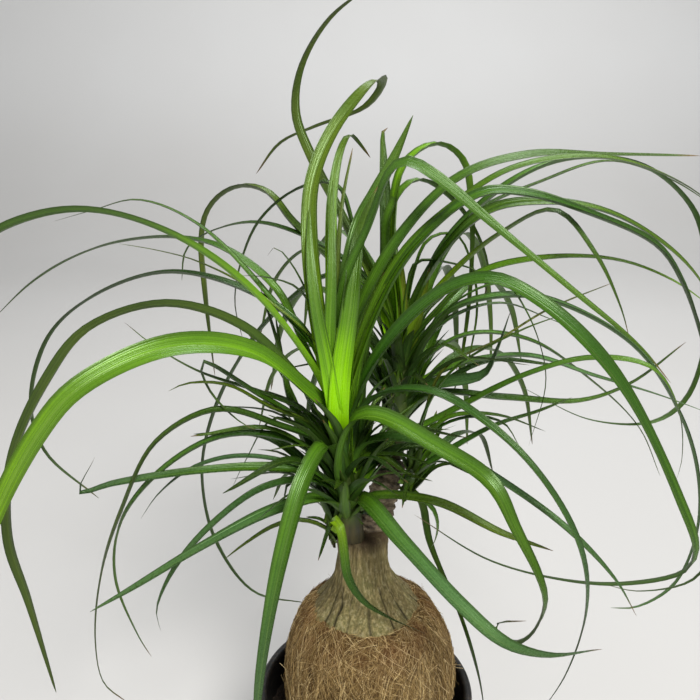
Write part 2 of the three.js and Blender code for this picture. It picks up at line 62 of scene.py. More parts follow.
# Bulb and neck
BULB_RADIUS = 56.6
BULB_HEIGHT = POT_HEIGHT + 7
BULB_X = 2.2
NECK_RADIUS = 16.5
NECK_TOP = POT_HEIGHT + 124
NECK_LEAN = -4.5
BULB_OUTLINE = [
    (0, -56),
    (22, -52.5),
    (40, -41),
    (50.5, -25),
    (55.4, -11),
    (BULB_RADIUS, 0),
    (55.9, 13),
    (54, 26),
    (51, 36),
    (46.8, 46),
    (41.5, 55),
    (34.5, 62),
    (27.5, 70),
    (21.6, 79),
    (18, 90),
    (16.7, 101),
    (NECK_RADIUS, NECK_TOP - BULB_HEIGHT - 5),
    (NECK_RADIUS - 1.5, NECK_TOP - BULB_HEIGHT),
    (0, NECK_TOP - BULB_HEIGHT),
]
BULB_SIDES = 340
BULB_RING_SPACING = 1.3
FISSURES = 17
FISSURE_DEPTH = 1.9
# heights above the bulb's widest part
BELLY_REACH = 45
SHOULDER = 72
SHOULDER_REACH = 20
BARE_BARK = 40
BARE_BARK_FADE = 10
FISSURE_MIDDLE = 64
FISSURE_REACH = 19
LEAN_START = 45
LEAN_REACH = 45
BRANCH_FOOT = (2, 3, NECK_TOP - 10)
BRANCH_TOP = (19, 26, NECK_TOP + 40)
BRANCH_RADIUS = 9
BRANCH_SIDES = 96
BRANCH_RINGS = 60
BRANCH_END = 0.06  # the part of its length over which the branch's end is rounded

# Coconut fibre
WRAP_THICKNESS = 2.6
WRAP_FOOT = POT_HEIGHT - 32
WRAP_TOP = POT_HEIGHT + 69
MAT_SIDES = 220
MAT_STEPS = 56
MAT_CROWDING = 1.3  # above 1, so the mat's rows of points lie closer together near its upper edge
MAT_WALL = 1.5  # how far the mat's inner side lies inside the bulb's skin

# Soil
SOIL_TOP = POT_HEIGHT - 22
SOIL_HOLE = 40  # radius of the hole in the ring of soil, out of sight inside the bulb
SOIL_WIDTH = 29.6  # of the ring's upper side
SOIL_RINGS = 30
SOIL_SIDES = 180

# How a leaf looks: how bright its green is, from 0 to 1, and how olive it is or, below 0, how
# bluish. The brightness is partly the leaf's own green and partly painted light and shade: a leaf
# that faces the light is given a bright look, one in shade a dark one. The bluish looks are a
# painted reflection of the pale room. A leaf that changes along its length has two looks:
# "dark>lit" is dark at its base, and "dark>lit@0.6" changes at 0.6 of its length, where one
# without a number changes at LOOK_CHANGE.
LOOK_CHANGE = 0.3
LOOK_FADE = 0.36  # over how much of the length the one look passes into the other
LOOKS = {
    "heart": (1.0, 0.0),
    "lit": (0.84, 0.0),
    "bright": (0.64, 0.02),
    "fresh": (0.58, 0.0),
    "grass": (0.48, 0.0),
    "straw": (0.7, 0.5),
    "olive": (0.4, 0.38),
    "mid": (0.38, 0.04),
    "grey": (0.3, 0.0),
    "sea": (0.42, -0.6),
    "deepsea": (0.28, -0.5),
    "deepolive": (0.2, 0.38),
    "dark": (0.15, 0.03),
    "black": (0.02, 0.05),
    "yellow": (0.85, 0.5),
    "cut": (0.5, 0.5),
    "dry": (0.2, 1.0),
}

# Each crown: the foot and the top of its stem, the stem's radius, how wide the stem is at its foot
# and above it as parts of that radius, its leaf bases (how many, how long, and whether the upper
# ones leave its front open) and its leaves, lowest first.
# A leaf is [heading, width, roll at base, roll at tip, look, route]. The heading is in degrees
# seen from above, 0 to the right and 90 to the back. The route is a list of [reach, height] and,
# where the leaf swings out sideways, a third number: reach is from the crown's middle.
FRONT_CROWN = {
    "middle": [-14, -12],
    "foot": [-9, -9, NECK_TOP + GAP],
    "top": [-14, -12, 326],
    "radius": 8,
    "girths": (1.0, 0.8),
    "bases": (64, 74, True),
    "leaves": [
        [335, 6.2, 0, 135, "yellow>dark", [
            [-3.5, 268, -8], [-1.5, 274, -11.5], [1.5, 276, -14], [4.5, 271, -16],
            [7.5, 260, -18], [11.5, 243, -19.5], [20.5, 228, -17.5], [34, 215, -10],
            [53, 194, 9],
        ]],
        [212, 12, 0, 0, "mid>deepsea", [[12, 285], [48, 289], [93, 281], [137, 269], [158, 264]]],
        [340, 10, 10, 10, "mid>olive", [[17, 286], [58, 292], [98, 280], [128, 275]]],
        [312, 13, 0, 0, "mid>sea", [
            [14, 288], [50, 274], [95, 257], [125, 251], [150, 259], [178, 281],
        ]],
        [205, 9, 0, 0, "mid>deepsea", [
            [15, 297], [50, 303], [82, 288], [107, 265], [120, 240], [119, 225],
        ]],
        [193, 9, -15, -15, "mid>deepsea@0.6", [
            [20, 302], [47, 310], [93, 313], [136, 311], [156, 308], [145, 329],
        ]],
        [188, 7, 0, 0, "mid>deepsea", [[20, 303], [61, 317], [91, 312], [113, 296], [125, 280]]],
        [190, 9, 0, 0, "dark>grey", [
            [20, 316], [46, 330], [76, 331], [109, 313], [135, 282], [142, 245], [133, 201],
            [126, 182],
        ]],
        [240, 12, 0, 0, "mid>deepsea@0.65", [
            [10, 315], [22, 329], [43, 318], [67, 282], [85, 240], [95, 205], [99, 165],
        ]],
        [335, 11, 0, 0, "mid>deepsea", [
            [15, 324], [57, 331], [93, 319], [135, 297], [163, 273], [176, 254],
        ]],
        [196, 8, 0, 0, "dark>deepolive", [
            [15, 322], [41, 338], [76, 352], [110, 337], [133, 296], [148, 257], [156, 210],
            [154, 180], [142, 162],
        ]],
        [186, 5, 0, 0, "grey", [[20, 328], [42, 340], [61, 312], [70, 294]]],
        [150, 8, 0, 0, "grey>mid", [[8, 302], [25, 312], [37, 334], [44, 361], [49, 397]]],
        [345, 9, 0, 0, "fresh>mid", [[10, 311], [21, 316], [40, 306], [55, 304]]],
        [90, 9, 0, 0, "fresh", [[4, 296, -10], [13, 313, -25], [23, 322, -39]]],
        [350, 8, 0, 0, "fresh", [[5, 300], [11, 312], [34, 317], [55, 311]]],
        [90, 10, 0, 0, "fresh>mid", [[3, 308, -7], [9, 336, -16], [18, 352, -25]]],
        [200, 9, 0, 0, "grey>olive", [[20, 336], [46, 352], [70, 369], [92, 373], [102, 370]]],
        [194, 9, 0, 0, "mid", [[20, 332], [54, 360], [82, 381], [79, 366], [64, 345], [54, 337]]],
        [188, 6, 0, 0, "grey>mid", [[20, 340], [44, 355], [85, 373], [110, 391], [123, 404]]],
        [322, 13, 40, -22, "mid>dark@0.66", [
            [5, 316, -9], [9, 334, -8], [16, 345, -6], [30, 348, -4], [63, 338], [98, 327],
            [114, 305], [130, 281], [134, 268], [129, 248], [119, 236], [106, 232, 4],
            [104, 234, 10], [115, 232, 26],
        ]],
        [330, 9, 0, 0, "dark>deepsea@0.6", [
            [17, 352], [54, 366], [96, 350], [126, 324], [145, 293], [151, 260], [145, 216],
            [132, 178],
        ]],
        [165, 10, 0, 0, "dark>mid", [[13, 302], [29, 328], [37, 350], [41, 377], [51, 416]]],
        [213, 14, -35, -55, "fresh>lit@0.72", [
            [7, 336], [28, 362], [60, 391], [105, 402], [150, 390], [170, 372], [198, 328],
            [213, 278], [216, 235],
        ]],
        [196, 11, 20, 50, "fresh>deepolive@0.22", [
            [10, 340], [26, 362], [60, 400], [100, 416], [139, 406], [163, 379], [185, 338],
            [194, 290], [189, 247], [182, 180],
        ]],
        [170, 9, 0, 0, "fresh>dark@0.2", [
            [10, 355], [26, 393], [62, 416], [108, 424], [160, 405], [190, 378], [208, 331],
            [202, 299], [168, 268],
        ]],
        [158, 9, 0, 0, "bright>grey@0.35", [
            [10, 345], [26, 377], [45, 414], [79, 436], [112, 441], [158, 435], [194, 423],
            [234, 402], [275, 372],
        ]],
        [90, 9, 0, 0, "mid>grey", [[4, 323, -7], [12, 371, -11], [21, 407, -19]]],
        [172, 8, 0, 0, "heart>dark", [[8, 375], [26, 417], [44, 424], [60, 425]]],
        [165, 6, 0, 0, "heart>dark", [[10, 380], [26, 422], [35, 436], [41, 441], [46, 436]]],
        [175, 5, 0, 0, "bright>olive", [[10, 375], [49, 414], [84, 433], [106, 439], [130, 443]]],
        [183, 11, 10, 40, "heart>mid@0.4", [
            [9, 346], [21, 374], [52, 417], [93, 449], [133, 463], [166, 461], [200, 446],
            [235, 403], [255, 340],
        ]],
        [168, 7, 0, 0, "bright>mid@0.25", [
            [12, 370], [39, 404], [86, 452], [123, 466], [154, 459], [180, 452],
        ]],
        [342, 12, 30, 20, "grey", [
            [5, 338], [24, 383], [59, 421], [83, 429], [108, 419], [137, 396], [160, 368],
            [187, 320], [201, 287], [198, 275], [171, 261], [137, 255], [92, 259], [45, 281],
        ]],
        [358, 11, 15, 15, "bright>dark@0.25", [
            [5, 353], [21, 407], [43, 445], [74, 471], [97, 472], [133, 462], [173, 444],
            [189, 424], [204, 393], [217, 354], [231, 270], [224, 232], [191, 221], [165, 226],
        ]],
        [5, 9, 15, 15, "bright>mid", [
            [6, 370], [32, 434], [65, 467], [95, 485], [143, 491], [185, 480], [215, 462],
            [240, 430],
        ]],
        [12, 13, 0, 25, "mid>grey@0.35", [
            [3, 370], [12, 406], [36, 449], [67, 479], [108, 491], [158, 491], [218, 490],
        ]],
        [345, 11, 40, 20, "fresh>mid@0.4", [
            [0, 370], [2, 420], [16, 456], [28, 486], [35, 489], [48, 483], [84, 456],
            [124, 426], [162, 397], [179, 379],
        ]],
        [90, 9, 0, 0, "bright", [[-1, 343, -3], [7, 388, -10], [23, 426, -24]]],
        [60, 16, 0, 0, "bright>mid@0.5", [[3, 390], [19, 450], [40, 470], [61, 488], [86, 513]]],
        [80, 4, 0, 0, "bright>deepolive", [[4, 400, 5], [21, 463, 5], [34, 495, 1]]],
        [90, 9, 0, 0, "heart>mid@0.6", [
            [0, 364, 7], [10, 417, 7], [26, 467, 7], [37, 494, 2], [45, 502, -3], [54, 498, -8],
            [62, 488, -16],
        ]],
        [90, 10.5, 0, -30, "heart>olive@0.22", [
            [1, 370, 10], [10, 440, 19], [28, 476, 18], [42, 503, 7], [60, 528, -13],
            [72, 534, -22], [84, 530, -24], [94, 517, -13], [106, 505, 20], [116, 494, 45],
            [124, 473, 63],
        ]],
        [90, 8, 0, 0, "heart>grass@0.38", [
            [-8, 357, 5], [-9, 385, 8], [0, 425, 7], [11, 454, 7], [20, 478, 6.5],
        ]],
        [90, 9, 0, 0, "heart>grass@0.38", [
            [-11, 354, 6], [-12, 379, 10], [-4, 413, 16.5], [6, 440, 19.5], [17, 463, 20],
        ]],
        [90, 12, 0, 0, "heart>mid@0.42", [
            [-9, 339, 3], [-12, 370, 2], [-4, 409, -3.5], [10, 444, -8], [26, 463, -15],
            [38, 474, -21],
        ]],
    ],
}
BACK_CROWN = {
    "middle": [23, 32],
    "foot": [19, 26, NECK_TOP + 40 + GAP],
    "top": [23, 32, 366],
    "radius": 8,
    "girths": (0.8, 0.8),
    "bases": (34, 76, False),
    "leaves": [
        [92, 9, 0, 0, "mid>grey", [[18, 325], [50, 345], [90, 335], [120, 290], [130, 235]]],
        [62, 9, 0, 0, "mid>grass", [[18, 328], [50, 350], [95, 345], [130, 300], [145, 240]]],
        [120, 9, 0, 0, "dark", [[18, 330], [50, 350], [95, 340], [130, 295], [145, 235]]],
        [42, 9, 0, 0, "mid", [[18, 330], [55, 350], [100, 345], [140, 305], [160, 250]]],
        [138, 9, 0, 0, "dark>mid", [[18, 332], [50, 352], [90, 350], [125, 320], [145, 270]]],
        [345, 8, 10, 10, "grass", [
            [10, 311], [27, 322], [81, 358], [118, 372], [152, 369], [170, 344], [176, 313],
            [175, 299],
        ]],
        [352, 10, 0, 0, "mid>grey", [[19, 336], [67, 337], [115, 338], [145, 352], [174, 381]]],
        [340, 13, 20, 20, "fresh>sea", [[6, 335], [26, 346], [55, 357], [62, 375], [68, 401]]],
        [52, 10, 0, 0, "bright>grass", [[20, 345], [60, 385], [110, 395], [155, 365], [185, 310]]],
        [100, 10, 0, 0, "bright>fresh", [[18, 350], [60, 385], [110, 385], [150, 340], [170, 280]]],
        [70, 10, 0, 0, "fresh>dark", [[18, 352], [60, 395], [115, 400], [160, 360], [185, 290]]],
        [124, 10, 0, 0, "bright>mid", [[18, 348], [60, 380], [115, 385], [160, 345], [185, 280]]],
        [0, 9, 0, 0, "fresh>sea", [
            [12, 342], [42, 358], [83, 363], [125, 350], [169, 337], [205, 324],
        ]],
        [5, 7, 0, 0, "grass", [
            [12, 355], [41, 376], [84, 372], [130, 342], [167, 307], [188, 268],
        ]],
        [350, 10, 0, 0, "mid>sea", [
            [6, 360], [30, 394], [59, 405], [91, 404], [141, 379], [173, 338], [191, 292],
            [195, 250], [186, 212], [165, 192], [149, 189],
        ]],
        [10, 7, 0, 0, "fresh>grey", [[10, 368], [38, 390], [67, 396], [98, 385], [116, 377]]],
        [345, 10, 10, 10, "mid>fresh", [
            [6, 370], [23, 395], [47, 420], [86, 432], [126, 433], [157, 423], [178, 410],
        ]],
        [60, 9, 0, 0, "grass>mid", [
            [18, 370], [50, 412], [95, 430], [140, 405], [170, 350], [180, 300],
        ]],
        [115, 9, 0, 0, "heart>mid@0.2", [[16, 372], [50, 415], [100, 430], [150, 395], [175, 330]]],
        [85, 9, 0, 0, "dark>mid", [
            [15, 376, 3], [45, 425, 9], [90, 445, 13], [135, 420, 14], [165, 360, 15],
        ]],
        [132, 8, 0, 0, "fresh>mid", [[15, 372], [45, 412], [90, 422], [135, 392], [160, 340]]],
        [350, 4, 0, 0, "fresh", [[30, 398], [62, 414], [75, 400], [88, 372], [92, 350], [85, 307]]],
        [90, 9, 0, 0, "cut", [[0, 384, 0], [-2, 401, 0], [-2, 426, 1]]],
        [90, 9, 0, 0, "cut", [[-1, 384, -8], [-2, 399, -11], [-3, 423, -16]]],
        [335, 10, 10, 10, "straw>dark@0.5", [
            [8, 385], [30, 418], [60, 447], [89, 462], [113, 440], [130, 411], [137, 393],
        ]],
        [176, 9, 0, 0, "fresh>dark", [
            [10, 390], [43, 416], [79, 393], [110, 353], [131, 305], [137, 269], [130, 220],
            [104, 178], [66, 170],
        ]],
        [352, 13, 15, 15, "grass>mid", [
            [8, 395], [25, 431], [51, 457], [84, 463], [120, 458], [154, 440], [176, 420],
            [195, 390],
        ]],
        [165, 9, 0, 0, "heart>grey@0.2", [
            [12, 395], [38, 424], [94, 446], [131, 439], [149, 426], [154, 405],
        ]],
        [160, 12, 0, 0, "grass>deepolive", [
            [15, 385], [45, 418], [78, 447], [93, 464], [110, 468], [126, 462], [138, 449],
            [143, 430], [143, 396], [140, 332],
        ]],
        [172, 8, 0, 0, "bright>dark@0.35", [
            [12, 400], [32, 445], [43, 472], [65, 470], [90, 451], [104, 424], [110, 396],
            [106, 370],
        ]],
        [355, 8, 0, 0, "bright>grass", [[3, 405], [8, 425], [30, 425], [49, 418], [53, 403]]],
        [15, 5, 0, 0, "mid>bright", [
            [8, 420], [17, 439], [34, 441], [45, 423], [51, 391], [44, 339],
        ]],
        [12, 7, 0, 0, "mid", [[10, 400], [42, 451], [92, 474], [134, 485], [179, 473], [215, 455]]],
        [5, 9, 0, 0, "grass>grey", [
            [8, 390], [26, 436], [67, 474], [101, 487], [147, 483], [182, 457], [198, 420],
            [205, 370], [198, 328], [179, 312], [133, 314], [81, 340],
        ]],
        [25, 10, 0, 0, "bright>grass", [
            [-4, 400], [-10, 455], [7, 475], [32, 463], [54, 438], [64, 414], [62, 395],
        ]],
        [20, 10, 0, 0, "bright", [
            [0, 400], [-6, 450], [0, 484], [20, 496], [37, 486], [44, 460], [47, 415], [44, 360],
            [38, 326],
        ]],
        [90, 11, 0, 0, "heart>grey@0.25", [
            [2, 388, 8], [16, 442, 10], [36, 487, 12], [44, 503, 12], [48, 505, 9],
        ]],
        [150, 13, 0, 0, "fresh>deepolive@0.15", [
            [6, 389, 6], [20, 414, 8], [48, 457, 5], [68, 486, 2], [82, 514, -2], [83, 543, -12],
            [71, 572, -28], [50, 594, -50],
        ]],
    ],
}
RIGHT_CROWN = {
    "middle": [29, 5],
    "foot": [25, 7, 272],
    "top": [29, 5, 300],
    "radius": 5,
    "girths": (0.3, 0.6),
    "bases": (16, 36, False),
    "leaves": [
        [50, 8, 0, 0, "mid>dark", [[12, 284], [45, 300], [85, 290], [110, 250]]],
        [20, 9, 0, 0, "mid", [[4, 274], [13, 239], [39, 177], [60, 112], [68, 75]]],
        [330, 6, 0, 0, "fresh", [[8, 275], [15, 271], [19, 261], [18, 249], [15, 241]]],
        [60, 9, 0, 0, "bright", [[3, 292], [21, 301], [31, 311], [38, 323]]],
        [5, 8, 0, 0, "mid>grey", [[12, 298], [52, 323], [81, 333], [102, 342]]],
        [10, 8, 0, 0, "fresh>bright", [[3, 296], [12, 306], [18, 320], [22, 335]]],
        [350, 5, 0, 0, "mid>grey", [
            [8, 312], [17, 326], [38, 335], [56, 332], [66, 318], [71, 310],
        ]],
        [345, 7, 0, 0, "fresh>dark@0.6", [[11, 320], [23, 334], [52, 339], [81, 332]]],
        [1, 5, 0, 0, "grass>mid", [[10, 340], [25, 364], [65, 389], [90, 399]]],
        [15, 4, 0, 0, "dry", [[8, 330], [20, 362], [57, 379], [89, 396], [134, 411]]],
    ],
}
LEFT_CROWN = {
    "middle": [-19, 5],
    "foot": [-21, 5, 238],
    "top": [-26, 6, 262],
    "radius": 4.5,
    "girths": (0.2, 0.5),
    "bases": (16, 36, False),
    "leaves": [
        [190, 6, 0, 0, "deepolive", [[8, 252], [24, 260], [41, 258], [61, 247], [75, 237]]],
        [128, 8, 0, 0, "dark>grey", [[10, 262], [30, 275], [58, 268], [80, 238]]],
        [205, 6, 0, 0, "dark", [[9, 270], [22, 293], [33, 293], [37, 279]]],
        [190, 8, 0, 0, "mid>deepolive", [[11, 283], [26, 302], [38, 311], [50, 314]]],
        [165, 8, 0, 0, "dark>mid", [[12, 275], [22, 320], [38, 360], [60, 385]]],
        [110, 8, 0, 0, "mid>dark", [[8, 275], [16, 325], [30, 365], [50, 385]]],
        [195, 7, 0, 0, "dark>mid", [[12, 275], [20, 310], [34, 340], [55, 352]]],
    ],
}

BLADE_SPACING = 6  # distance between two sections of a leaf
BLADE_TIP = 0.9  # width that a leaf tapers to
BLADE_POINT = 0.15  # half the width of its last section
BASE_FLARE = 1.25  # how many times its width a leaf is at its base
# the youngest leaves, those that start above this place on the stem, are rolled narrow at the base
HEART_PLACE = 0.92
HEART_FLARE = 0.15
BLADE_SIDES = 16
FEWEST_SECTIONS = 12
CURVE_STEPS = 24  # steps in each stretch of a smooth curve
STEM_SIDES = 40
LOWEST_LEAF = 0.1  # where the lowest leaf starts, as a part of the stem's length
LEAFY_PART = 0.85  # the part of the stem, above that, on which leaves start
FRONT = 270  # heading of a leaf that points to the front
GROWTH_ANGLE = 137.5  # degrees from one leaf base to the next
# the leaf bases' dark looks are painted shade for the inside of the crowns
BASE_LOOKS = ("dark>mid", "dark", "mid>dark", "black>dark", "grey>dark", "dark>grey")
FULL_TURN = 6.28  # in radians
SHARP_EDGE = 1.0  # edges that turn by more than this, in radians, are shaded sharp


# ---------------------------------------------------------------- meshes

def linked(name, data):
    """An object of a mesh, a lamp or a camera, put in the scene."""
    made = bpy.data.objects.new(name, data)
    bpy.context.scene.collection.objects.link(made)
    return made


def piece(name, mesh, replaced, finish=None):
    """A finished piece of the object, on its only body, in place of a node of the solids. A grown
    mesh already has its finish."""
    if finish:
        mesh.materials.append(finish)
    thing = linked(name, mesh)
    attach(thing, "root")
    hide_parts(replaced)


def angles(sides):
    """Even angles all the way round, in radians."""
    return [2 * math.pi * j / sides for j in range(sides)]


def around(angle, spread, up):
    """A place for noise on an upright tube. The wider the spread, the faster the noise changes."""
    return Vector((math.cos(angle) * spread, math.sin(angle) * spread, up))


def lathe(name, rings, closed=False):
    """Skins rings of equally many points, given from the bottom up, and closes the ends at poles
    or, if closed, joins the last ring to the first."""
    count = len(rings[0])
    points = [p for ring in rings for p in ring]
    faces = []
    last = len(rings) if closed else len(rings) - 1
    for i in range(last):
        here, above = i * count, ((i + 1) % len(rings)) * count
        for j in range(count):
            k = (j + 1) % count
            faces.append((here + j, here + k, above + k, above + j))
    if not closed:
        for ring, start, turn in ((rings[0], 0, -1), (rings[-1], (len(rings) - 1) * count, 1)):
            pole = len(points)
            points.append(tuple(np.mean(ring, axis=0)))
            for j in range(count):
                a, b = start + j, start + (j + 1) % count
                faces.append((a, b, pole) if turn > 0 else (b, a, pole))
    mesh = bpy.data.meshes.new(name)
    mesh.from_pydata([tuple(c * MM for c in p) for p in points], [], faces)
    mesh.shade_smooth()
    mesh.update()
    return mesh


def set_attribute(mesh, name, values, kind="FLOAT"):
    """Writes a value, or a vector, for every point of a mesh."""
    made = mesh.attributes.new(name, kind, "POINT")
    flat = np.asarray(values, np.float32).ravel()
    made.data.foreach_set("vector" if kind == "FLOAT_VECTOR" else "value", flat)


def face_vectors(mesh, key):
    """The normal or the centre of every face."""
    flat = np.zeros(len(mesh.polygons) * 3, np.float32)
    mesh.polygons.foreach_get(key, flat)
    return flat.reshape(-1, 3)


def mark_outer(mesh, chosen):
    """Marks the faces that strands or crumbs are laid on."""
    mark = mesh.attributes.new("outer", "BOOLEAN", "FACE")
    mark.data.foreach_set("value", chosen)


def grown(name, mesh, group, inputs):
    """The plain mesh that a geometry node group makes of a mesh."""
    host = linked(name + "_host", mesh)
    modifier = host.modifiers.new(name, "NODES")
    modifier.node_group = group
    for socket in group.interface.items_tree:
        if socket.item_type == "SOCKET" and socket.in_out == "INPUT" and socket.name in inputs:
            modifier[socket.identifier] = inputs[socket.name]
    graph = bpy.context.evaluated_depsgraph_get()
    made = bpy.data.meshes.new_from_object(
        host.evaluated_get(graph), preserve_all_data_layers=True, depsgraph=graph
    )
    host.modifiers.remove(modifier)
    bpy.data.objects.remove(host)
    made.name = name
    return made


# ---------------------------------------------------------------- node trees

class Tree:
    """A short way to write node trees. A value is a number, a node's output or a node, which
    stands for its first output."""

    def __init__(self, tree):
        self.tree = tree

    def add(self, kind, inputs=(), **settings):
        """A new node with its settings and then its inputs, {name or number: value}."""
        made = self.tree.nodes.new(kind)
        for name, value in settings.items():
            setattr(made, name, value)
        for key, value in dict(inputs).items():
            self.plug(made.inputs[key], value)
        return made

    def plug(self, socket, value):
        """Gives an input its value."""
        if isinstance(value, bpy.types.NodeSocket):
            self.tree.links.new(value, socket)
        elif isinstance(value, bpy.types.Node):
            self.tree.links.new(value.outputs[0], socket)
        else:
            socket.default_value = value

    def math(self, operation, a, b=0.0, c=0.0, clamp=False):
        made = self.add("ShaderNodeMath", {0: a, 1: b, 2: c}, operation=operation, use_clamp=clamp)
        return made.outputs[0]

    def plus(self, a, b, part):
        """a with a part of b added to it."""
        return self.math("ADD", a, self.math("MULTIPLY", b, part))

    def vector(self, operation, a, b=(0, 0, 0), scale=1.0):
        given = {0: a, "Scale": scale} if operation == "SCALE" else {0: a, 1: b}
        made = self.add("ShaderNodeVectorMath", given, operation=operation)
        return made.outputs[0]

    def spread(self, value, low, high, to_low=0.0, to_high=1.0, smooth=False):
        """to_low where the value is low, to_high where it is high, and in between in step."""
        made = self.add(
            "ShaderNodeMapRange",
            {"Value": value, "From Min": low, "From Max": high, "To Min": to_low, "To Max": to_high},
            interpolation_type="SMOOTHSTEP" if smooth else "LINEAR",
        )
        return made.outputs[0]


FLOAT, WHOLE, VECTOR = "NodeSocketFloat", "NodeSocketInt", "NodeSocketVector"
SHAPE, PAINT = "NodeSocketGeometry", "NodeSocketMaterial"


def node_group(kind, name, inputs, outputs):
    """A node group with named inputs, {name: (socket, default)}, and outputs, {name: socket}."""
    group = bpy.data.node_groups.new(name, kind)
    for label, (socket, default) in inputs.items():
        made = group.interface.new_socket(label, in_out="INPUT", socket_type=socket)
        if default is not None:
            made.default_value = default
    for label, socket in outputs.items():
        group.interface.new_socket(label, in_out="OUTPUT", socket_type=socket)
    return Tree(group), group.nodes.new("NodeGroupInput"), group.nodes.new("NodeGroupOutput")


def geometry_group(name, inputs):
    """A group that makes a geometry from a geometry and its other inputs."""
    inputs = {"Geometry": (SHAPE, None), **inputs}
    return node_group("GeometryNodeTree", name, inputs, {"Geometry": SHAPE})


def finish_group(tree, geometry, material, output):
    """Ends a group: smooth shading but for sharp edges, real faces and a material."""
    smooth = tree.add("GeometryNodeSetShadeSmooth", {"Geometry": geometry})
    angle = tree.add("GeometryNodeInputMeshEdgeAngle")
    sharp = tree.add("FunctionNodeCompare", {0: angle, 1: SHARP_EDGE}, operation="GREATER_THAN")
    edges = tree.add(
        "GeometryNodeSetShadeSmooth",
        {"Geometry": smooth, "Selection": sharp.outputs[0], "Shade Smooth": False},
        domain="EDGE",
    )
    real = tree.add("GeometryNodeRealizeInstances", {0: edges})
    painted = tree.add("GeometryNodeSetMaterial", {"Geometry": real, "Material": material})
    tree.plug(output.inputs[0], painted)


def named(tree, name, kind="FLOAT"):
    """A value that the geometry carries under a name."""
    return tree.add("GeometryNodeInputNamedAttribute", {"Name": name}, data_type=kind).outputs[0]


def stored(tree, geometry, name, value):
    """A geometry with a value written on its points under a name."""
    return tree.add("GeometryNodeStoreNamedAttribute", {
        "Geometry": geometry, "Name": name, "Value": value,
    })


def chance(tree, seed, offset, low, high):
    """A random number or, between two vectors, a random vector. Each offset draws another one."""
    is_vector = isinstance(high, tuple)
    made = tree.add(
        "FunctionNodeRandomValue", {"Seed": tree.math("ADD", seed, float(offset))},
        data_type="FLOAT_VECTOR" if is_vector else "FLOAT",
    )
    first = 0 if is_vector else 2
    tree.plug(made.inputs[first], low)
    tree.plug(made.inputs[first + 1], high)
    return made.outputs[0 if is_vector else 1]


def blade_group():
    """Leaf blades: a thin channelled section swept along each route."""
    tree, given, output = geometry_group("leaf_blades", {
        "Thickness": (FLOAT, 0.05),
        "Channel": (FLOAT, 0.55),
        "Ripple": (FLOAT, 0.08),
        "Sides": (WHOLE, BLADE_SIDES),
        "Material": (PAINT, None),
    })
    lines = tree.add("GeometryNodeMeshToCurve", {0: given.outputs["Geometry"]})
    facing = tree.add(
        "GeometryNodeSetCurveNormal",
        {"Curve": lines, "Normal": named(tree, "across", "FLOAT_VECTOR")},
        mode="FREE",
    )
    ring = tree.add(
        "GeometryNodeCurvePrimitiveCircle", {"Resolution": given.outputs["Sides"], "Radius": 1.0},
    )
    parts = tree.add("ShaderNodeSeparateXYZ", {0: tree.add("GeometryNodeInputPosition")})
    width, height = parts.outputs[0], parts.outputs[1]
    marked = stored(tree, ring, "place", width)
    marked = stored(tree, marked, "under", tree.math("LESS_THAN", height, -0.001))
    flat = tree.add("ShaderNodeCombineXYZ", {
        0: width,
        1: tree.math("MULTIPLY", height, given.outputs["Thickness"]),
        2: 0.0,
    })
    section = tree.add("GeometryNodeSetPosition", {"Geometry": marked, "Position": flat})
    swept = tree.add("GeometryNodeCurveToMesh", {
        "Curve": facing,
        "Profile Curve": section,
        "Scale": named(tree, "half_width"),
        "Fill Caps": True,
    })
    place = named(tree, "place")
    edge = tree.math("POWER", tree.math("ABSOLUTE", place), 1.3)
    # the channel is deeper at the base than at the tip, and the edges ripple along the leaf
    flatter = tree.spread(named(tree, "share"), 0.0, 1.0, 1.3, 0.45)
    channel = tree.math("MULTIPLY", given.outputs["Channel"], flatter)
    way = tree.math("MULTIPLY", named(tree, "metres"), 55.0)
    wave = tree.math("SINE", tree.plus(way, named(tree, "seed"), 40.0))
    ripple = tree.math("MULTIPLY", place, wave)
    rise = tree.plus(tree.math("MULTIPLY", edge, channel), ripple, given.outputs["Ripple"])
    lift = tree.math("MULTIPLY", rise, named(tree, "half_width"))
    lifted = tree.vector("SCALE", named(tree, "up", "FLOAT_VECTOR"), scale=lift)
    bent = tree.add("GeometryNodeSetPosition", {"Geometry": swept, "Offset": lifted})
    finish_group(tree, bent, given.outputs["Material"], output)
    return tree.tree


# ---------------------------------------------------------------- leaves

def smooth_route(points, spacing):
    """A centripetal curve through the points, as the solids have it, at even distances."""
    points = np.asarray(points, float)
    last = len(points) - 1
    fine = []
    for i in range(last):
        p1, p2 = points[i], points[i + 1]
        p0 = points[i - 1] if i > 0 else 2 * p1 - p2
        p3 = points[i + 2] if i + 2 <= last else 2 * p2 - p1
        gaps = [max(math.sqrt(np.linalg.norm(a - b)), 1e-4) for a, b in ((p1, p0), (p2, p1), (p3, p2))]
        m1 = (p1 - p0) / gaps[0] - (p2 - p0) / (gaps[0] + gaps[1]) + (p2 - p1) / gaps[1]
        m2 = (p2 - p1) / gaps[1] - (p3 - p1) / (gaps[1] + gaps[2]) + (p3 - p2) / gaps[2]
        m1, m2 = m1 * gaps[1], m2 * gaps[1]
        for w in np.arange(0, 1, 1 / CURVE_STEPS):
            fine.append(
                p1 + m1 * w + (-3 * p1 + 3 * p2 - 2 * m1 - m2) * w**2
                + (2 * p1 - 2 * p2 + m1 + m2) * w**3
            )
    fine = np.array(fine + [points[-1]])
    along = np.r_[0, np.cumsum(np.linalg.norm(np.diff(fine, axis=0), axis=1))]
    count = max(FEWEST_SECTIONS, int(along[-1] / spacing))
    even = np.linspace(0, along[-1], count + 1)
    return np.column_stack([np.interp(even, along, fine[:, a]) for a in range(3)]), along[-1]


def stem_ends(crown):
    """The foot and the top of a crown's stem."""
    return np.array(crown["foot"], float), np.array(crown["top"], float)


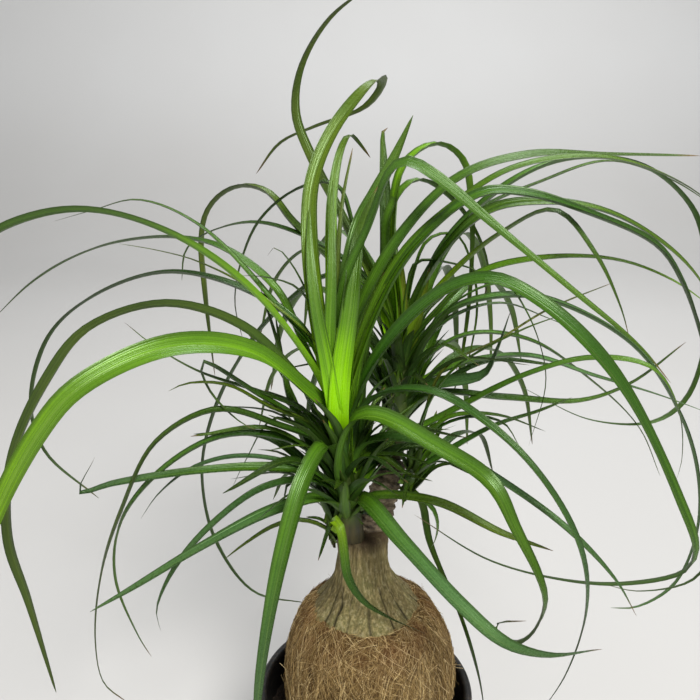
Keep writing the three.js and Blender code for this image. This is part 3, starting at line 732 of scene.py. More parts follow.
def leaf_start(crown, place):
    """Where a leaf leaves the stem, for a place from 0, the lowest leaf, to 1, the highest."""
    foot, top = stem_ends(crown)
    return foot + (top - foot) * (LOWEST_LEAF + LEAFY_PART * place)


def leaf_points(crown, leaf, place):
    """The points that a leaf passes through, from its start on the stem to its tip."""
    turn = math.radians(leaf[0])
    points = [leaf_start(crown, place)]
    for reach, height, *side in leaf[5]:
        side = side[0] if side else 0
        points.append((
            crown["middle"][0] + reach * math.cos(turn) - side * math.sin(turn),
            crown["middle"][1] + reach * math.sin(turn) + side * math.cos(turn),
            height,
        ))
    return points


def leaf_bases(crown):
    """Young leaves and leaf bases packed round a crown's stem, turned from one to the next by the
    angle at which leaves grow. Each comes with its place on the stem."""
    count, reach, open_front = crown["bases"]
    draw = random.Random(count)
    radius = crown["radius"]
    made = []
    for k in range(count):
        place = 0.95 * k / count
        heading = (k * GROWTH_ANGLE + draw.uniform(-25, 25)) % 360
        if open_front and place > 0.55 and abs(heading - FRONT) < 60:
            continue
        start = leaf_start(crown, place)[2]
        length = draw.uniform(0.6, 1.4) * reach * (1.1 - 0.55 * place)
        slant = draw.uniform(0.2, 1.0) * (1.15 - 0.6 * place)
        sway = draw.uniform(-0.12, 0.12) * length
        look = draw.choice(BASE_LOOKS)
        width = radius * draw.uniform(0.6, 1.0)
        roll = draw.uniform(-50, 50)
        made.append(([heading, width, 0, roll, look, [
            (radius * 0.85, start + length * 0.22),
            (radius + length * 0.5 * slant, start + length * 0.62, sway / 2),
            (radius + length * 1.15 * slant, start + length * (1 - 0.45 * slant), sway * 2),
        ]], place))
    return made


def stem_mesh(name, crown):
    """The closed core that a crown's leaves grow from."""
    foot, top = stem_ends(crown)
    low, body = crown["girths"]
    rings = []
    for way, girth in (
        (0, low), (0.15, (low + body) / 2), (0.3, body), (0.6, 0.95 * body), (0.9, 0.75 * body),
        (1, 0.35 * body),
    ):
        middle = foot + (top - foot) * way
        radius = crown["radius"] * girth
        rings.append([
            (middle[0] + radius * math.cos(a), middle[1] + radius * math.sin(a), middle[2])
            for a in angles(STEM_SIDES)
        ])
    made = lathe(name, rings)
    heights = np.array([v.co.z for v in made.vertices]) / MM
    set_attribute(made, "share", (heights - foot[2]) / (top[2] - foot[2]))
    return made


def leaf_directions(route, heading):
    """Which way is across a leaf and which way is out of its face, along a route."""
    turn = math.radians(heading)
    level = np.array([-math.sin(turn), math.cos(turn), 0])
    tangents = np.gradient(route, axis=0)
    tangents /= np.linalg.norm(tangents, axis=1)[:, None]
    side = level - tangents * (tangents @ level)[:, None]
    side /= np.linalg.norm(side, axis=1)[:, None]
    return side, np.cross(tangents, side)


def half_widths(width, share, flare):
    """Half a leaf's width along it: wide or narrow at the base by its flare, and tapered."""
    taper = (1 - share**2.6) ** 0.9
    base = flare + (1 - flare) * np.minimum(1, share * 8)
    half = (BLADE_TIP + (width - BLADE_TIP) * taper * base) / 2
    half[-1] = BLADE_POINT
    return half


def leaf_tint(look, share):
    """How bright and how olive a leaf is along it, from the words of its look."""
    words, _, late = look.partition("@")
    looks = [np.array(LOOKS[word]) for word in words.split(">")]
    change = np.clip((share - float(late or LOOK_CHANGE)) / LOOK_FADE + 0.5, 0, 1)[:, None]
    return looks[0] * (1 - change) + looks[-1] * change


def leaf_lines(name, crown):
    """One mesh of edges with a line for each leaf, and on its points what the blades need."""
    draw = random.Random(name)
    points, edges, data = [], [], {}
    leaves = [(leaf, (i + 0.5) / len(crown["leaves"])) for i, leaf in enumerate(crown["leaves"])]
    for leaf, place in leaves + leaf_bases(crown):
        heading, width, base_roll, tip_roll, look, _ = leaf
        route, length = smooth_route(leaf_points(crown, leaf, place), BLADE_SPACING)
        side, face = leaf_directions(route, heading)
        share = np.linspace(0, 1, len(route))
        roll = np.radians(base_roll + (tip_roll - base_roll) * share)[:, None]
        flare = HEART_FLARE if place > HEART_PLACE else BASE_FLARE
        tint = leaf_tint(look, share) + (draw.uniform(-0.05, 0.05), draw.uniform(-0.08, 0.08))
        start = len(points)
        points.extend(route * MM)
        edges.extend((start + k, start + k + 1) for k in range(len(route) - 1))
        for key, values in {
            "across": side * np.cos(roll) + face * np.sin(roll),
            "up": face * np.cos(roll) - side * np.sin(roll),
            "half_width": half_widths(width, share, flare) * MM,
            "share": share,
            "metres": share * length * MM,
            "bright": np.clip(tint[:, 0], 0, 1),
            "olive": np.clip(tint[:, 1], -1, 1),
            "seed": [draw.random()] * len(route),
        }.items():
            data.setdefault(key, []).extend(values)
    mesh = bpy.data.meshes.new(name + "_lines")
    mesh.from_pydata([tuple(p) for p in points], edges, [])
    for key, values in data.items():
        set_attribute(mesh, key, values, "FLOAT_VECTOR" if key in ("across", "up") else "FLOAT")
    return mesh


# ---------------------------------------------------------------- materials

def material(name):
    """A new material, with its node tree and its shader."""
    made = bpy.data.materials.new(name)
    made.use_nodes = True
    made.node_tree.nodes.clear()
    tree = Tree(made.node_tree)
    shader = tree.add("ShaderNodeBsdfPrincipled")
    out = tree.add("ShaderNodeOutputMaterial")
    tree.plug(out.inputs["Surface"], shader)
    return made, tree, shader


def attribute(tree, name):
    """A value that the mesh carries under a name, for its material."""
    return tree.add("ShaderNodeAttribute", attribute_name=name).outputs["Fac"]


def mix(tree, share, a, b):
    """Colour a where the share is 0 and colour b where it is 1."""
    made = tree.add("ShaderNodeMix", {0: share}, data_type="RGBA")
    for socket, value in ((made.inputs[6], a), (made.inputs[7], b)):
        tree.plug(socket, value if not isinstance(value, tuple) else (*value, 1))
    return made.outputs[2]


def ramp(tree, share, stops):
    """A colour that follows a share through stops, {share: colour}, of which the first is 0 and the
    last 1."""
    made = tree.add("ShaderNodeValToRGB", {"Fac": share})
    elements = made.color_ramp.elements
    for stop, colour in stops.items():
        element = elements[0] if stop == 0 else elements[-1] if stop == 1 else elements.new(stop)
        element.position, element.color = stop, (*colour, 1)
    return made.outputs[0]


def paint(tree, shader, colour, rough, shine=0.5):
    """Gives a shader its colour, its roughness and its shine, which is constant."""
    tree.plug(shader.inputs["Base Color"], colour)
    tree.plug(shader.inputs["Roughness"], rough)
    shader.inputs["Specular IOR Level"].default_value = shine


def emboss(tree, shader, height, strength, depth):
    """Gives a shader a fine relief, its depth in metres."""
    bump = tree.add("ShaderNodeBump", {"Strength": strength, "Distance": depth, "Height": height})
    tree.plug(shader.inputs["Normal"], bump)


def fine_grain_group():
    """Fine uneven grain, as a mask from 0 to 1 and as a height."""
    tree, given, out = node_group("ShaderNodeTree", "fine_grain", {
        "Vector": (VECTOR, None), "Scale": (FLOAT, 100.0), "Detail": (FLOAT, 4.0),
        "Contrast": (FLOAT, 0.5),
    }, {"Mask": FLOAT, "Height": FLOAT})
    cloud = tree.add("ShaderNodeTexNoise", {
        "Vector": given.outputs["Vector"], "Scale": given.outputs["Scale"],
        "Detail": given.outputs["Detail"], "Roughness": 0.65,
    })
    half = tree.math("MULTIPLY", given.outputs["Contrast"], 0.5)
    low, high = tree.math("ADD", -0.25, half), tree.math("SUBTRACT", 1.25, half)
    mask = tree.spread(cloud.outputs[0], low, high)
    tree.plug(out.inputs["Mask"], mask)
    tree.plug(out.inputs["Height"], cloud.outputs[0])
    return tree.tree


def grain(tree, vector, scale, detail, contrast):
    """The fine grain's Mask and Height. A larger scale makes it finer."""
    return tree.add("ShaderNodeGroup", {
        "Vector": vector, "Scale": scale, "Detail": detail, "Contrast": contrast,
    }, node_tree=GRAIN).outputs


def object_place(tree, stretch=(1, 1, 1), turn=(0, 0, 0)):
    """The place on the object in metres. A stretch below 1 draws a pattern out that way."""
    here = tree.add("ShaderNodeTexCoord").outputs["Object"]
    return tree.add("ShaderNodeMapping", {
        "Vector": here, "Rotation": turn, "Scale": stretch,
    }).outputs[0]


def height_of(tree, here):
    """The height, in metres, of a place."""
    return tree.add("ShaderNodeSeparateXYZ", {0: here}).outputs[2]


def leaf_vein_group():
    """Lengthwise stripes and ribs of a leaf, from the place across it and the way along it."""
    tree, given, out = node_group("ShaderNodeTree", "leaf_veins", {
        "Place": (FLOAT, 0.0), "Metres": (FLOAT, 0.0), "Seed": (FLOAT, 0.0),
    }, {"Stripe": FLOAT, "Rib": FLOAT, "Midrib": FLOAT})
    place, metres, seed = (given.outputs[k] for k in ("Place", "Metres", "Seed"))
    shift = tree.math("MULTIPLY", seed, 37.0)

    def bands(per_width, along, detail):
        """Streaks: how many across the leaf, how fast they change along it, and how fine."""
        where = tree.add("ShaderNodeCombineXYZ", {
            0: tree.plus(shift, place, per_width),
            1: tree.math("MULTIPLY", metres, along),
            2: seed,
        })
        noisy = tree.add("ShaderNodeTexNoise", {"Vector": where, "Scale": 1.0, "Detail": detail})
        return noisy.outputs[0]

    broad = tree.spread(bands(1.7, 3.0, 1.0), 0.34, 0.66)
    narrow = tree.spread(bands(6.5, 5.0, 2.0), 0.36, 0.64)
    stripe = tree.plus(tree.math("MULTIPLY", broad, 0.4), narrow, 0.6)
    rib = tree.plus(narrow, tree.math("SINE", tree.math("MULTIPLY", place, 34.0)), 0.25)
    midrib = tree.spread(tree.math("ABSOLUTE", place), 0.0, 0.14, 1.0, 0.0, smooth=True)
    for label, value in (("Stripe", stripe), ("Rib", rib), ("Midrib", midrib)):
        tree.plug(out.inputs[label], value)
    return tree.tree


def leaf_material(name, lift):
    """Leaf green. lift brightens the whole material a little."""
    made, tree, shader = material(name)
    place, metres, share = (attribute(tree, k) for k in ("place", "metres", "share"))
    bright, olive, seed, under = (attribute(tree, k) for k in ("bright", "olive", "seed", "under"))
    veins = tree.add(
        "ShaderNodeGroup", {"Place": place, "Metres": metres, "Seed": seed}, node_tree=VEINS,
    )
    stripe, rib, midrib = veins.outputs
    here = object_place(tree)
    clouds = grain(tree, here, 14.0, 3.0, 0.9)
    specks = grain(tree, here, 420.0, 3.0, 0.7)

    level = tree.plus(bright, tree.math("SUBTRACT", clouds["Mask"], 0.5), 0.2)
    level = tree.plus(level, tree.math("SUBTRACT", stripe, 0.5), 0.24)
    # lighter at the base and darker toward the tip: the lift at the base is painted light, making up
    # for the shade inside the crown
    level = tree.math("ADD", level, tree.spread(share, 0.0, 1.0, 0.06, -0.10))
    level = tree.math("ADD", level, lift, clamp=True)
    green = ramp(tree, level, {
        0.0: (0.004, 0.017, 0.002), 0.3: (0.026, 0.083, 0.006),
        0.6: (0.074, 0.182, 0.009), 1.0: (0.225, 0.510, 0.002),
    })
    olive_green = mix(tree, level, (0.034, 0.034, 0.006), (0.34, 0.36, 0.02))
    # painted reflection: the bluish looks turn the green towards the pale room's reflection
    painted_reflection_green = mix(tree, level, (0.016, 0.042, 0.022), (0.165, 0.330, 0.140))
    patchy = tree.spread(clouds["Mask"], 0.2, 0.8, 0.5, 1.0)
    olive_part = tree.math("MULTIPLY", tree.math("MAXIMUM", olive, 0.0), patchy)
    olive_part = tree.math("ADD", olive_part, tree.spread(share, 0.4, 1.0, 0.0, 0.22), clamp=True)
    colour = mix(tree, olive_part, green, olive_green)
    colour = mix(tree, tree.math("MULTIPLY", olive, -1.0, clamp=True), colour, painted_reflection_green)
    midrib_green = mix(tree, 0.4, colour, (0.30, 0.42, 0.09))
    colour = mix(tree, tree.math("MULTIPLY", midrib, 0.3), colour, midrib_green)
    underside_green = mix(tree, 0.35, colour, (0.09, 0.14, 0.05))
    colour = mix(tree, tree.math("MULTIPLY", under, 0.4), colour, underside_green)
    # the base is pale where it was folded in its neighbours, and old tips dry to brown
    colour = mix(tree, tree.spread(metres, 0.004, 0.02, 0.4, 0.0), colour, (0.20, 0.30, 0.05))
    old, tip = tree.spread(seed, 0.35, 0.5), tree.spread(share, 0.95, 0.985)
    colour = mix(tree, tree.math("MULTIPLY", tip, old), colour, (0.16, 0.085, 0.035))
    # painted shade along both edges, less so on a bright leaf
    edge = tree.spread(tree.math("ABSOLUTE", place), 0.6, 1.0, 0.0, 0.65, smooth=True)
    rim = tree.math("MULTIPLY", edge, tree.spread(level, 0.6, 0.9, 1.0, 0.2))
    colour = mix(tree, rim, colour, (0.018, 0.034, 0.006))
    rough = tree.plus(tree.math("MULTIPLY", specks["Mask"], 0.16), under, 0.12)
    paint(tree, shader, colour, tree.math("ADD", rough, 0.2), shine=0.45)
    shader.inputs["Specular Tint"].default_value = (0.72, 1.0, 0.55, 1.0)
    emboss(tree, shader, tree.plus(rib, specks["Height"], 0.25), 0.45, 0.0004)
    # painted light: the palest young leaves glow a little, for the light that passes through them
    painted_glow = mix(tree, tree.spread(level, 0.7, 1.0), (0.0, 0.0, 0.0), (0.034, 0.072, 0.001))
    tree.plug(shader.inputs["Emission Color"], painted_glow)
    shader.inputs["Emission Strength"].default_value = 1.0
    return made


def bark_material():
    """Grey-olive bark with pale strings and flecks, and painted shade in its fissures and under the
    crowns.
    """
    made, tree, shader = material("grey_olive_bark")
    here = object_place(tree)
    strings = grain(tree, object_place(tree, (1, 1, 0.14)), 620.0, 5.0, 1.0)
    flecks = grain(tree, object_place(tree, (1, 1, 0.45)), 420.0, 4.0, 1.3)
    patches = grain(tree, here, 48.0, 4.0, 1.0)
    pores = grain(tree, here, 1100.0, 3.0, 0.8)
    colour = mix(tree, patches["Mask"], (0.098, 0.078, 0.030), (0.216, 0.171, 0.068))
    green = tree.math("MULTIPLY", tree.spread(patches["Height"], 0.44, 0.62), 0.45)
    # painted shade in a band just under the crowns
    painted_shade_under_crowns = tree.math(
        "MULTIPLY", tree.spread(height_of(tree, here), 0.238, 0.254, smooth=True),
        tree.spread(patches["Height"], 0.35, 0.6, 0.4, 0.9),
    )
    for share, tint in (
        (green, (0.090, 0.105, 0.032)),
        (tree.spread(strings["Mask"], 0.45, 0.9, 0.0, 0.7), (0.40, 0.315, 0.145)),
        (tree.spread(flecks["Mask"], 0.6, 1.0, 0.0, 0.35), (0.45, 0.39, 0.22)),
        (tree.spread(strings["Mask"], 0.38, 0.15, 0.0, 0.6), (0.050, 0.038, 0.016)),
        # painted shade in the fissures
        (tree.spread(attribute(tree, "fissure"), 0.15, 0.8, 0.0, 0.9), (0.020, 0.016, 0.007)),
        (painted_shade_under_crowns, (0.045, 0.024, 0.014)),
    ):
        colour = mix(tree, share, colour, tint)
    paint(tree, shader, colour, tree.spread(pores["Mask"], 0.0, 1.0, 0.72, 0.95), shine=0.25)
    raised = tree.plus(strings["Height"], flecks["Height"], 0.6)
    emboss(tree, shader, tree.plus(raised, pores["Height"], 0.3), 0.8, 0.0010)
    return made


def stub_material():
    """Ragged old wood, banded by leaf scars."""
    made, tree, shader = material("ragged_stub_wood")
    bands = grain(tree, object_place(tree, (0.5, 0.5, 1.6)), 260.0, 5.0, 1.1)
    patches = grain(tree, object_place(tree), 120.0, 5.0, 1.1)
    colour = mix(tree, patches["Mask"], (0.055, 0.038, 0.020), (0.30, 0.23, 0.145))
    colour = mix(tree, tree.spread(bands["Mask"], 0.45, 0.2, 0.0, 0.8), colour, (0.018, 0.013, 0.008))
    colour = mix(tree, tree.spread(bands["Mask"], 0.62, 0.85, 0.0, 0.7), colour, (0.46, 0.38, 0.27))
    paint(tree, shader, colour, tree.spread(bands["Mask"], 0.0, 1.0, 0.7, 0.95))
    emboss(tree, shader, bands["Height"], 0.8, 0.0015)
    return made


def husk_material():
    """A crown's stem: green, and withered at its foot, both very dark with painted shade, as it stands
    inside its crown.
    """
    made, tree, shader = material("pale_leaf_base")
    fibres = grain(tree, object_place(tree, (1, 1, 0.1)), 420.0, 4.0, 1.0)
    patches = grain(tree, object_place(tree), 90.0, 4.0, 1.0)
    # the very dark greens and browns are partly painted shade inside the crown
    fresh = mix(tree, patches["Mask"], (0.018, 0.036, 0.004), (0.070, 0.110, 0.012))
    withered = mix(tree, fibres["Mask"], (0.016, 0.016, 0.004), (0.085, 0.068, 0.020))
    low = tree.spread(attribute(tree, "share"), 0.12, 0.3, 1.0, 0.0, smooth=True)
    colour = mix(tree, low, fresh, withered)
    paint(tree, shader, colour, tree.spread(fibres["Mask"], 0.0, 1.0, 0.5, 0.75))
    emboss(tree, shader, fibres["Height"], 0.5, 0.0006)
    return made


def russet(tree, here):
    """Where the coconut fibre turns reddish brown: in patches towards its upper edge."""
    patches = grain(tree, here, 42.0, 3.0, 1.0)
    near_edge = tree.spread(height_of(tree, here), 0.168, 0.2, smooth=True)
    return tree.math("MULTIPLY", near_edge, tree.spread(patches["Mask"], 0.25, 0.75, 0.0, 0.5))


def coir_mat_material():
    """Matted coconut fibre: two sets of threads that cross."""
    made, tree, shader = material("matted_coconut_fibre")
    here = object_place(tree)
    upright = grain(tree, object_place(tree, (1, 1, 0.12)), 480.0, 5.0, 1.1)
    cross = grain(tree, object_place(tree, (0.15, 1, 1), (0.9, 0.7, 0.5)), 520.0, 5.0, 1.1)
    patches = grain(tree, here, 40.0, 3.0, 1.0)
    threads = tree.math("MAXIMUM", upright["Mask"], cross["Mask"])
    # the mat between the threads is very dark: painted shade under the loose strands
    colour = mix(tree, threads, (0.020, 0.011, 0.004), (0.120, 0.072, 0.024))
    colour = mix(tree, tree.math("MULTIPLY", patches["Mask"], 0.4), colour, (0.130, 0.072, 0.024))
    colour = mix(tree, russet(tree, here), colour, (0.120, 0.048, 0.015))
    paint(tree, shader, colour, tree.spread(threads, 0.0, 1.0, 0.98, 0.82), shine=0.2)
    emboss(tree, shader, threads, 0.9, 0.0012)
    return made


def fibre_material():
    """Loose strands, each of its own tone."""
    made, tree, shader = material("coconut_fibre_strands")
    here = object_place(tree)
    grit = grain(tree, here, 700.0, 3.0, 0.9)
    colour = ramp(tree, attribute(tree, "tone"), {
        0.0: (0.030, 0.014, 0.004), 0.35: (0.140, 0.078, 0.022),
        0.7: (0.420, 0.285, 0.105), 1.0: (0.900, 0.710, 0.370),
    })
    colour = mix(tree, tree.math("MULTIPLY", grit["Mask"], 0.3), colour, (0.060, 0.035, 0.012))
    colour = mix(tree, russet(tree, here), colour, (0.170, 0.070, 0.022))
    paint(tree, shader, colour, tree.spread(grit["Mask"], 0.0, 1.0, 0.55, 0.8), shine=0.3)
    return made


def pot_material():
    """Satin black plastic, smudged, with a little dust, most of it near the rim."""
    made, tree, shader = material("satin_black_plastic")
    here = object_place(tree)
    skin = grain(tree, here, 1400.0, 2.0, 0.8)
    smudge = grain(tree, here, 24.0, 5.0, 1.1)
    dust = grain(tree, here, 320.0, 6.0, 1.2)
    near_rim = tree.spread(height_of(tree, here), 0.1, 0.13, 0.04, 0.2, smooth=True)
    dusty = tree.math("MULTIPLY", tree.spread(dust["Mask"], 0.6, 0.9), near_rim)
    colour = mix(tree, smudge["Mask"], (0.0045, 0.0045, 0.0042), (0.0085, 0.0085, 0.008))
    colour = mix(tree, dusty, colour, (0.12, 0.085, 0.055))
    paint(tree, shader, colour, tree.spread(smudge["Mask"], 0.0, 1.0, 0.32, 0.52), shine=0.4)
    emboss(tree, shader, skin["Height"], 0.25, 0.0003)
    return made


def soil_material(name, dark, light):
    """Potting mix with pale grit."""
    made, tree, shader = material(name)
    here = object_place(tree)
    clods = grain(tree, here, 160.0, 6.0, 1.1)
    grit = grain(tree, here, 900.0, 4.0, 1.0)
    colour = mix(tree, clods["Mask"], dark, light)
    colour = mix(tree, tree.spread(grit["Mask"], 0.7, 0.95, 0.0, 0.5), colour, (0.16, 0.12, 0.085))
    paint(tree, shader, colour, tree.spread(grit["Mask"], 0.0, 1.0, 0.85, 1.0), shine=0.2)
    emboss(tree, shader, tree.plus(clods["Height"], grit["Height"], 0.4), 0.9, 0.0015)
    return made


# ---------------------------------------------------------------- bulb and branch

def outline_at(outline, height):
    """The radius of an outline at a height."""
    for (r0, h0), (r1, h1) in zip(outline, outline[1:]):
        if height <= h1 and h1 > h0:
            return r0 + (r1 - r0) * (height - h0) / (h1 - h0)
    return outline[-1][0]


def smooth_outline(spacing):
    """The bulb's outline with many points, rounded between the listed ones."""
    route, _ = smooth_route([(r, 0, h) for r, h in BULB_OUTLINE], spacing)
    return [(r, h) for r, _, h in route]


def relief(angle, height):
    """The bulb's slow swellings, and its folds over the shoulder."""
    belly = math.exp(-((height / BELLY_REACH) ** 2))
    shoulder = math.exp(-(((height - SHOULDER) / SHOULDER_REACH) ** 2))
    swelling = 0.9 * math.sin(3 * angle + 0.6) + 0.6 * math.sin(5 * angle + 2)
    fold = 0.9 * math.sin(9 * angle + height * 0.04)
    return swelling * belly + fold * shoulder


def bark_furrow(angle, height):
    """Depth from 0 to 1 of the bare bark's furrows: fine ones up the neck, and deep fissures that
    fan down over the shoulder to the wrap."""
    bare = min(1, max(0, (height - BARE_BARK) / BARE_BARK_FADE))
    if bare == 0:
        return 0.0
    fine = max(0, 1 - abs(noise.noise(around(angle, 7, height * 0.05))) * 4) * 0.3
    fan = math.exp(-(((height - FISSURE_MIDDLE) / FISSURE_REACH) ** 4))
    sway = 0.16 * noise.noise(Vector((3, 7, height * 0.09)))
    deep = 0
    for k in range(FISSURES):
        middle = 2 * math.pi * (k + 0.32 * math.sin(5.1 * k)) / FISSURES + sway * math.sin(2.7 * k)
        gap = abs((angle - middle + math.pi) % (2 * math.pi) - math.pi)
        width = 0.040 + 0.018 * math.sin(3.3 * k + height * 0.12)
        strength = 0.75 + 0.25 * math.sin(1.9 * k)
        deep = max(deep, strength * max(0, 1 - gap / width))
    return bare * min(1, fine + deep * fan)


def bulb_mesh():
    """The bulb with its neck, which leans a little, in wrinkled bark."""
    rings, furrows = [], []
    for radius, height in smooth_outline(BULB_RING_SPACING)[1:-1]:
        middle = BULB_X + NECK_LEAN * min(1, max(0, (height - LEAN_START) / LEAN_REACH))
        full = min(1, radius / 12)
        ring = []
        for angle in angles(BULB_SIDES):
            lumps = noise.fractal(around(angle, 1, height / 40) * 3.1, 0.8, 2.0, 4) * 0.5
            strings = noise.noise(around(angle, 16, height * 0.09)) * 0.3
            creases = noise.noise(around(angle, 2, height * 0.42)) * 0.2
            furrow = bark_furrow(angle, height)
            bumps = relief(angle, height) + lumps + strings + creases - FISSURE_DEPTH * furrow
            out = radius + full * bumps
            ring.append((middle + out * math.cos(angle), out * math.sin(angle), BULB_HEIGHT + height))
            furrows.append(furrow)
        rings.append(ring)
    mesh = lathe("bulb_bark", rings)
    set_attribute(mesh, "fissure", furrows + [0, 0])
    return mesh


def stub_mesh():
    """The woody stub between the neck and the two crowns on its right, ringed by old leaf scars."""
    foot, top = Vector(BRANCH_FOOT), Vector(BRANCH_TOP)
    along = (top - foot).normalized()
    side = along.cross(Vector((0, 0, 1))).normalized()
    other = side.cross(along)
    rings = []
    for i in range(BRANCH_RINGS + 1):
        way = i / BRANCH_RINGS
        middle = foot.lerp(top, way)
        end = math.sqrt(max(0.02, 1 - max(0, (way - 1 + BRANCH_END) / BRANCH_END) ** 2))
        ring = []
        for angle in angles(BRANCH_SIDES):
            scars = 0.8 * (math.sin(way * 75 + 1.5 * math.sin(angle + way * 9)) ** 3)
            rough = noise.fractal(around(angle, 1.6, way * 9), 0.7, 2.0, 5)
            out = (BRANCH_RADIUS + 1.5 * (1 - way) + scars + 1.3 * rough) * end
            ring.append(tuple(middle + (side * math.cos(angle) - other * math.sin(angle)) * out))
        rings.append(ring)
    return lathe("branch_stub", rings)


# ---------------------------------------------------------------- pot and soil

def pot_radius(height):
    """The radius of the pot's outer side, which tapers evenly."""
    return FOOT_RADIUS + (RIM_RADIUS - ROLL_RADIUS * 0.8 - FOOT_RADIUS) * height / POT_HEIGHT


def pot_mesh():
    """The pot's skin: a foot with a chamfer, a faint step, the rolled rim, and the wall inside."""
    roll_height, roll_middle = POT_HEIGHT - ROLL_RADIUS, RIM_RADIUS - ROLL_RADIUS
    below = roll_height - ROLL_RADIUS
    outline = [(FLOOR_MIDDLE, 0), (UNDERSIDE_RING, 0)]
    outline += [(FOOT_RADIUS - 2, 0), (FOOT_RADIUS - 1.2, 0.25), (FOOT_RADIUS - 0.2, 1.2)]
    outline += [(pot_radius(height), height) for height in (2.5, 4, 30, 60, 90, 100)]
    step = pot_radius(POT_STEP)
    outline += [(step + 0.1, POT_STEP - 0.8), (step + 0.7, POT_STEP + 0.2)]
    outline += [(pot_radius(POT_STEP + 2) + 0.8, POT_STEP + 2)]
    outline += [(pot_radius(below) + 0.2, below - 1.5), (pot_radius(below), below)]
    for turn in (i * math.pi / 16 for i in range(-5, 17)):
        outline.append(
            (roll_middle + ROLL_RADIUS * math.cos(turn), roll_height + ROLL_RADIUS * math.sin(turn))
        )
    inner = [below, 90, 60, 30, FLOOR_THICKNESS + 2]
    outline += [(pot_radius(height) - POT_WALL, height) for height in inner]
    outline += [(pot_radius(FLOOR_THICKNESS) - POT_WALL - 2, FLOOR_THICKNESS)]
    outline += [(FLOOR_MIDDLE, FLOOR_THICKNESS)]
    rings = [
        [(r * math.cos(angle), r * math.sin(angle), h) for angle in angles(POT_SIDES)]
        for r, h in outline
    ]
    return lathe("pot_skin", rings)


def soil_mesh():
    """The visible top of the potting mix, a ring that dips and rises round the wrap."""
    fit = POT_WALL + GAP
    outline = [(SOIL_HOLE, -8)]
    outline += [(SOIL_HOLE + SOIL_WIDTH * k / SOIL_RINGS, 0) for k in range(SOIL_RINGS + 1)]
    outline += [(pot_radius(SOIL_TOP) - fit, -4), (pot_radius(60) - fit, -50), (SOIL_HOLE, -50)]
    rings = []
    for radius, drop in outline:
        ring = []
        for angle in angles(SOIL_SIDES):
            x, y = radius * math.cos(angle), radius * math.sin(angle)
            heap = noise.fractal(Vector((x, y, 0)) * 0.09, 0.7, 2.1, 5) * 1.6 if drop == 0 else 0
            ring.append((x, y, SOIL_TOP - 0.8 + heap + drop))
        rings.append(ring)
    return lathe("potting_mix", rings[::-1], closed=True)


# ---------------------------------------------------------------- coconut fibre

def wrap_edge(angle):
    """Height of the wrap's upper edge, level but ragged."""
    return WRAP_TOP - 1 + 1.6 * noise.fractal(around(angle, 3, 3), 0.8, 2.2, 4)


def bulb_skin(outline, angle, height):
    """The bulb's radius at a height above its widest part, with its swellings."""
    return outline_at(outline, height) + relief(angle, height)


def mat_mesh():
    """The mat under the loose strands: closed all round, thin at its ragged upper edge."""
    outline = smooth_outline(1.0)
    columns = []
    for angle in angles(MAT_SIDES):
        reach = wrap_edge(angle) - WRAP_FOOT
        profile = []
        for j in range(MAT_STEPS + 1):
            share = j / MAT_STEPS
            height = WRAP_FOOT + reach * (1 - (1 - share) ** MAT_CROWDING)
            thin = min(1, (1 - share) * 9 + 0.25)
            lumps = noise.fractal(around(angle, 2.2, height / 25), 0.8, 2.2, 4) * 0.7
            skin = bulb_skin(outline, angle, height - BULB_HEIGHT)
            profile.append((skin + (WRAP_THICKNESS - 0.4 + lumps) * thin, height))
        for share in (1, 0.5, 0):
            height = WRAP_FOOT + reach * (1 - (1 - share) ** MAT_CROWDING)
            inner = bulb_skin(outline, angle, height - BULB_HEIGHT) - MAT_WALL
            profile.append((inner, height))
        columns.append([
            (BULB_X + out * math.cos(angle), out * math.sin(angle), height)
            for out, height in profile
        ])
    return lathe("coir_mat", columns[::-1], closed=True)


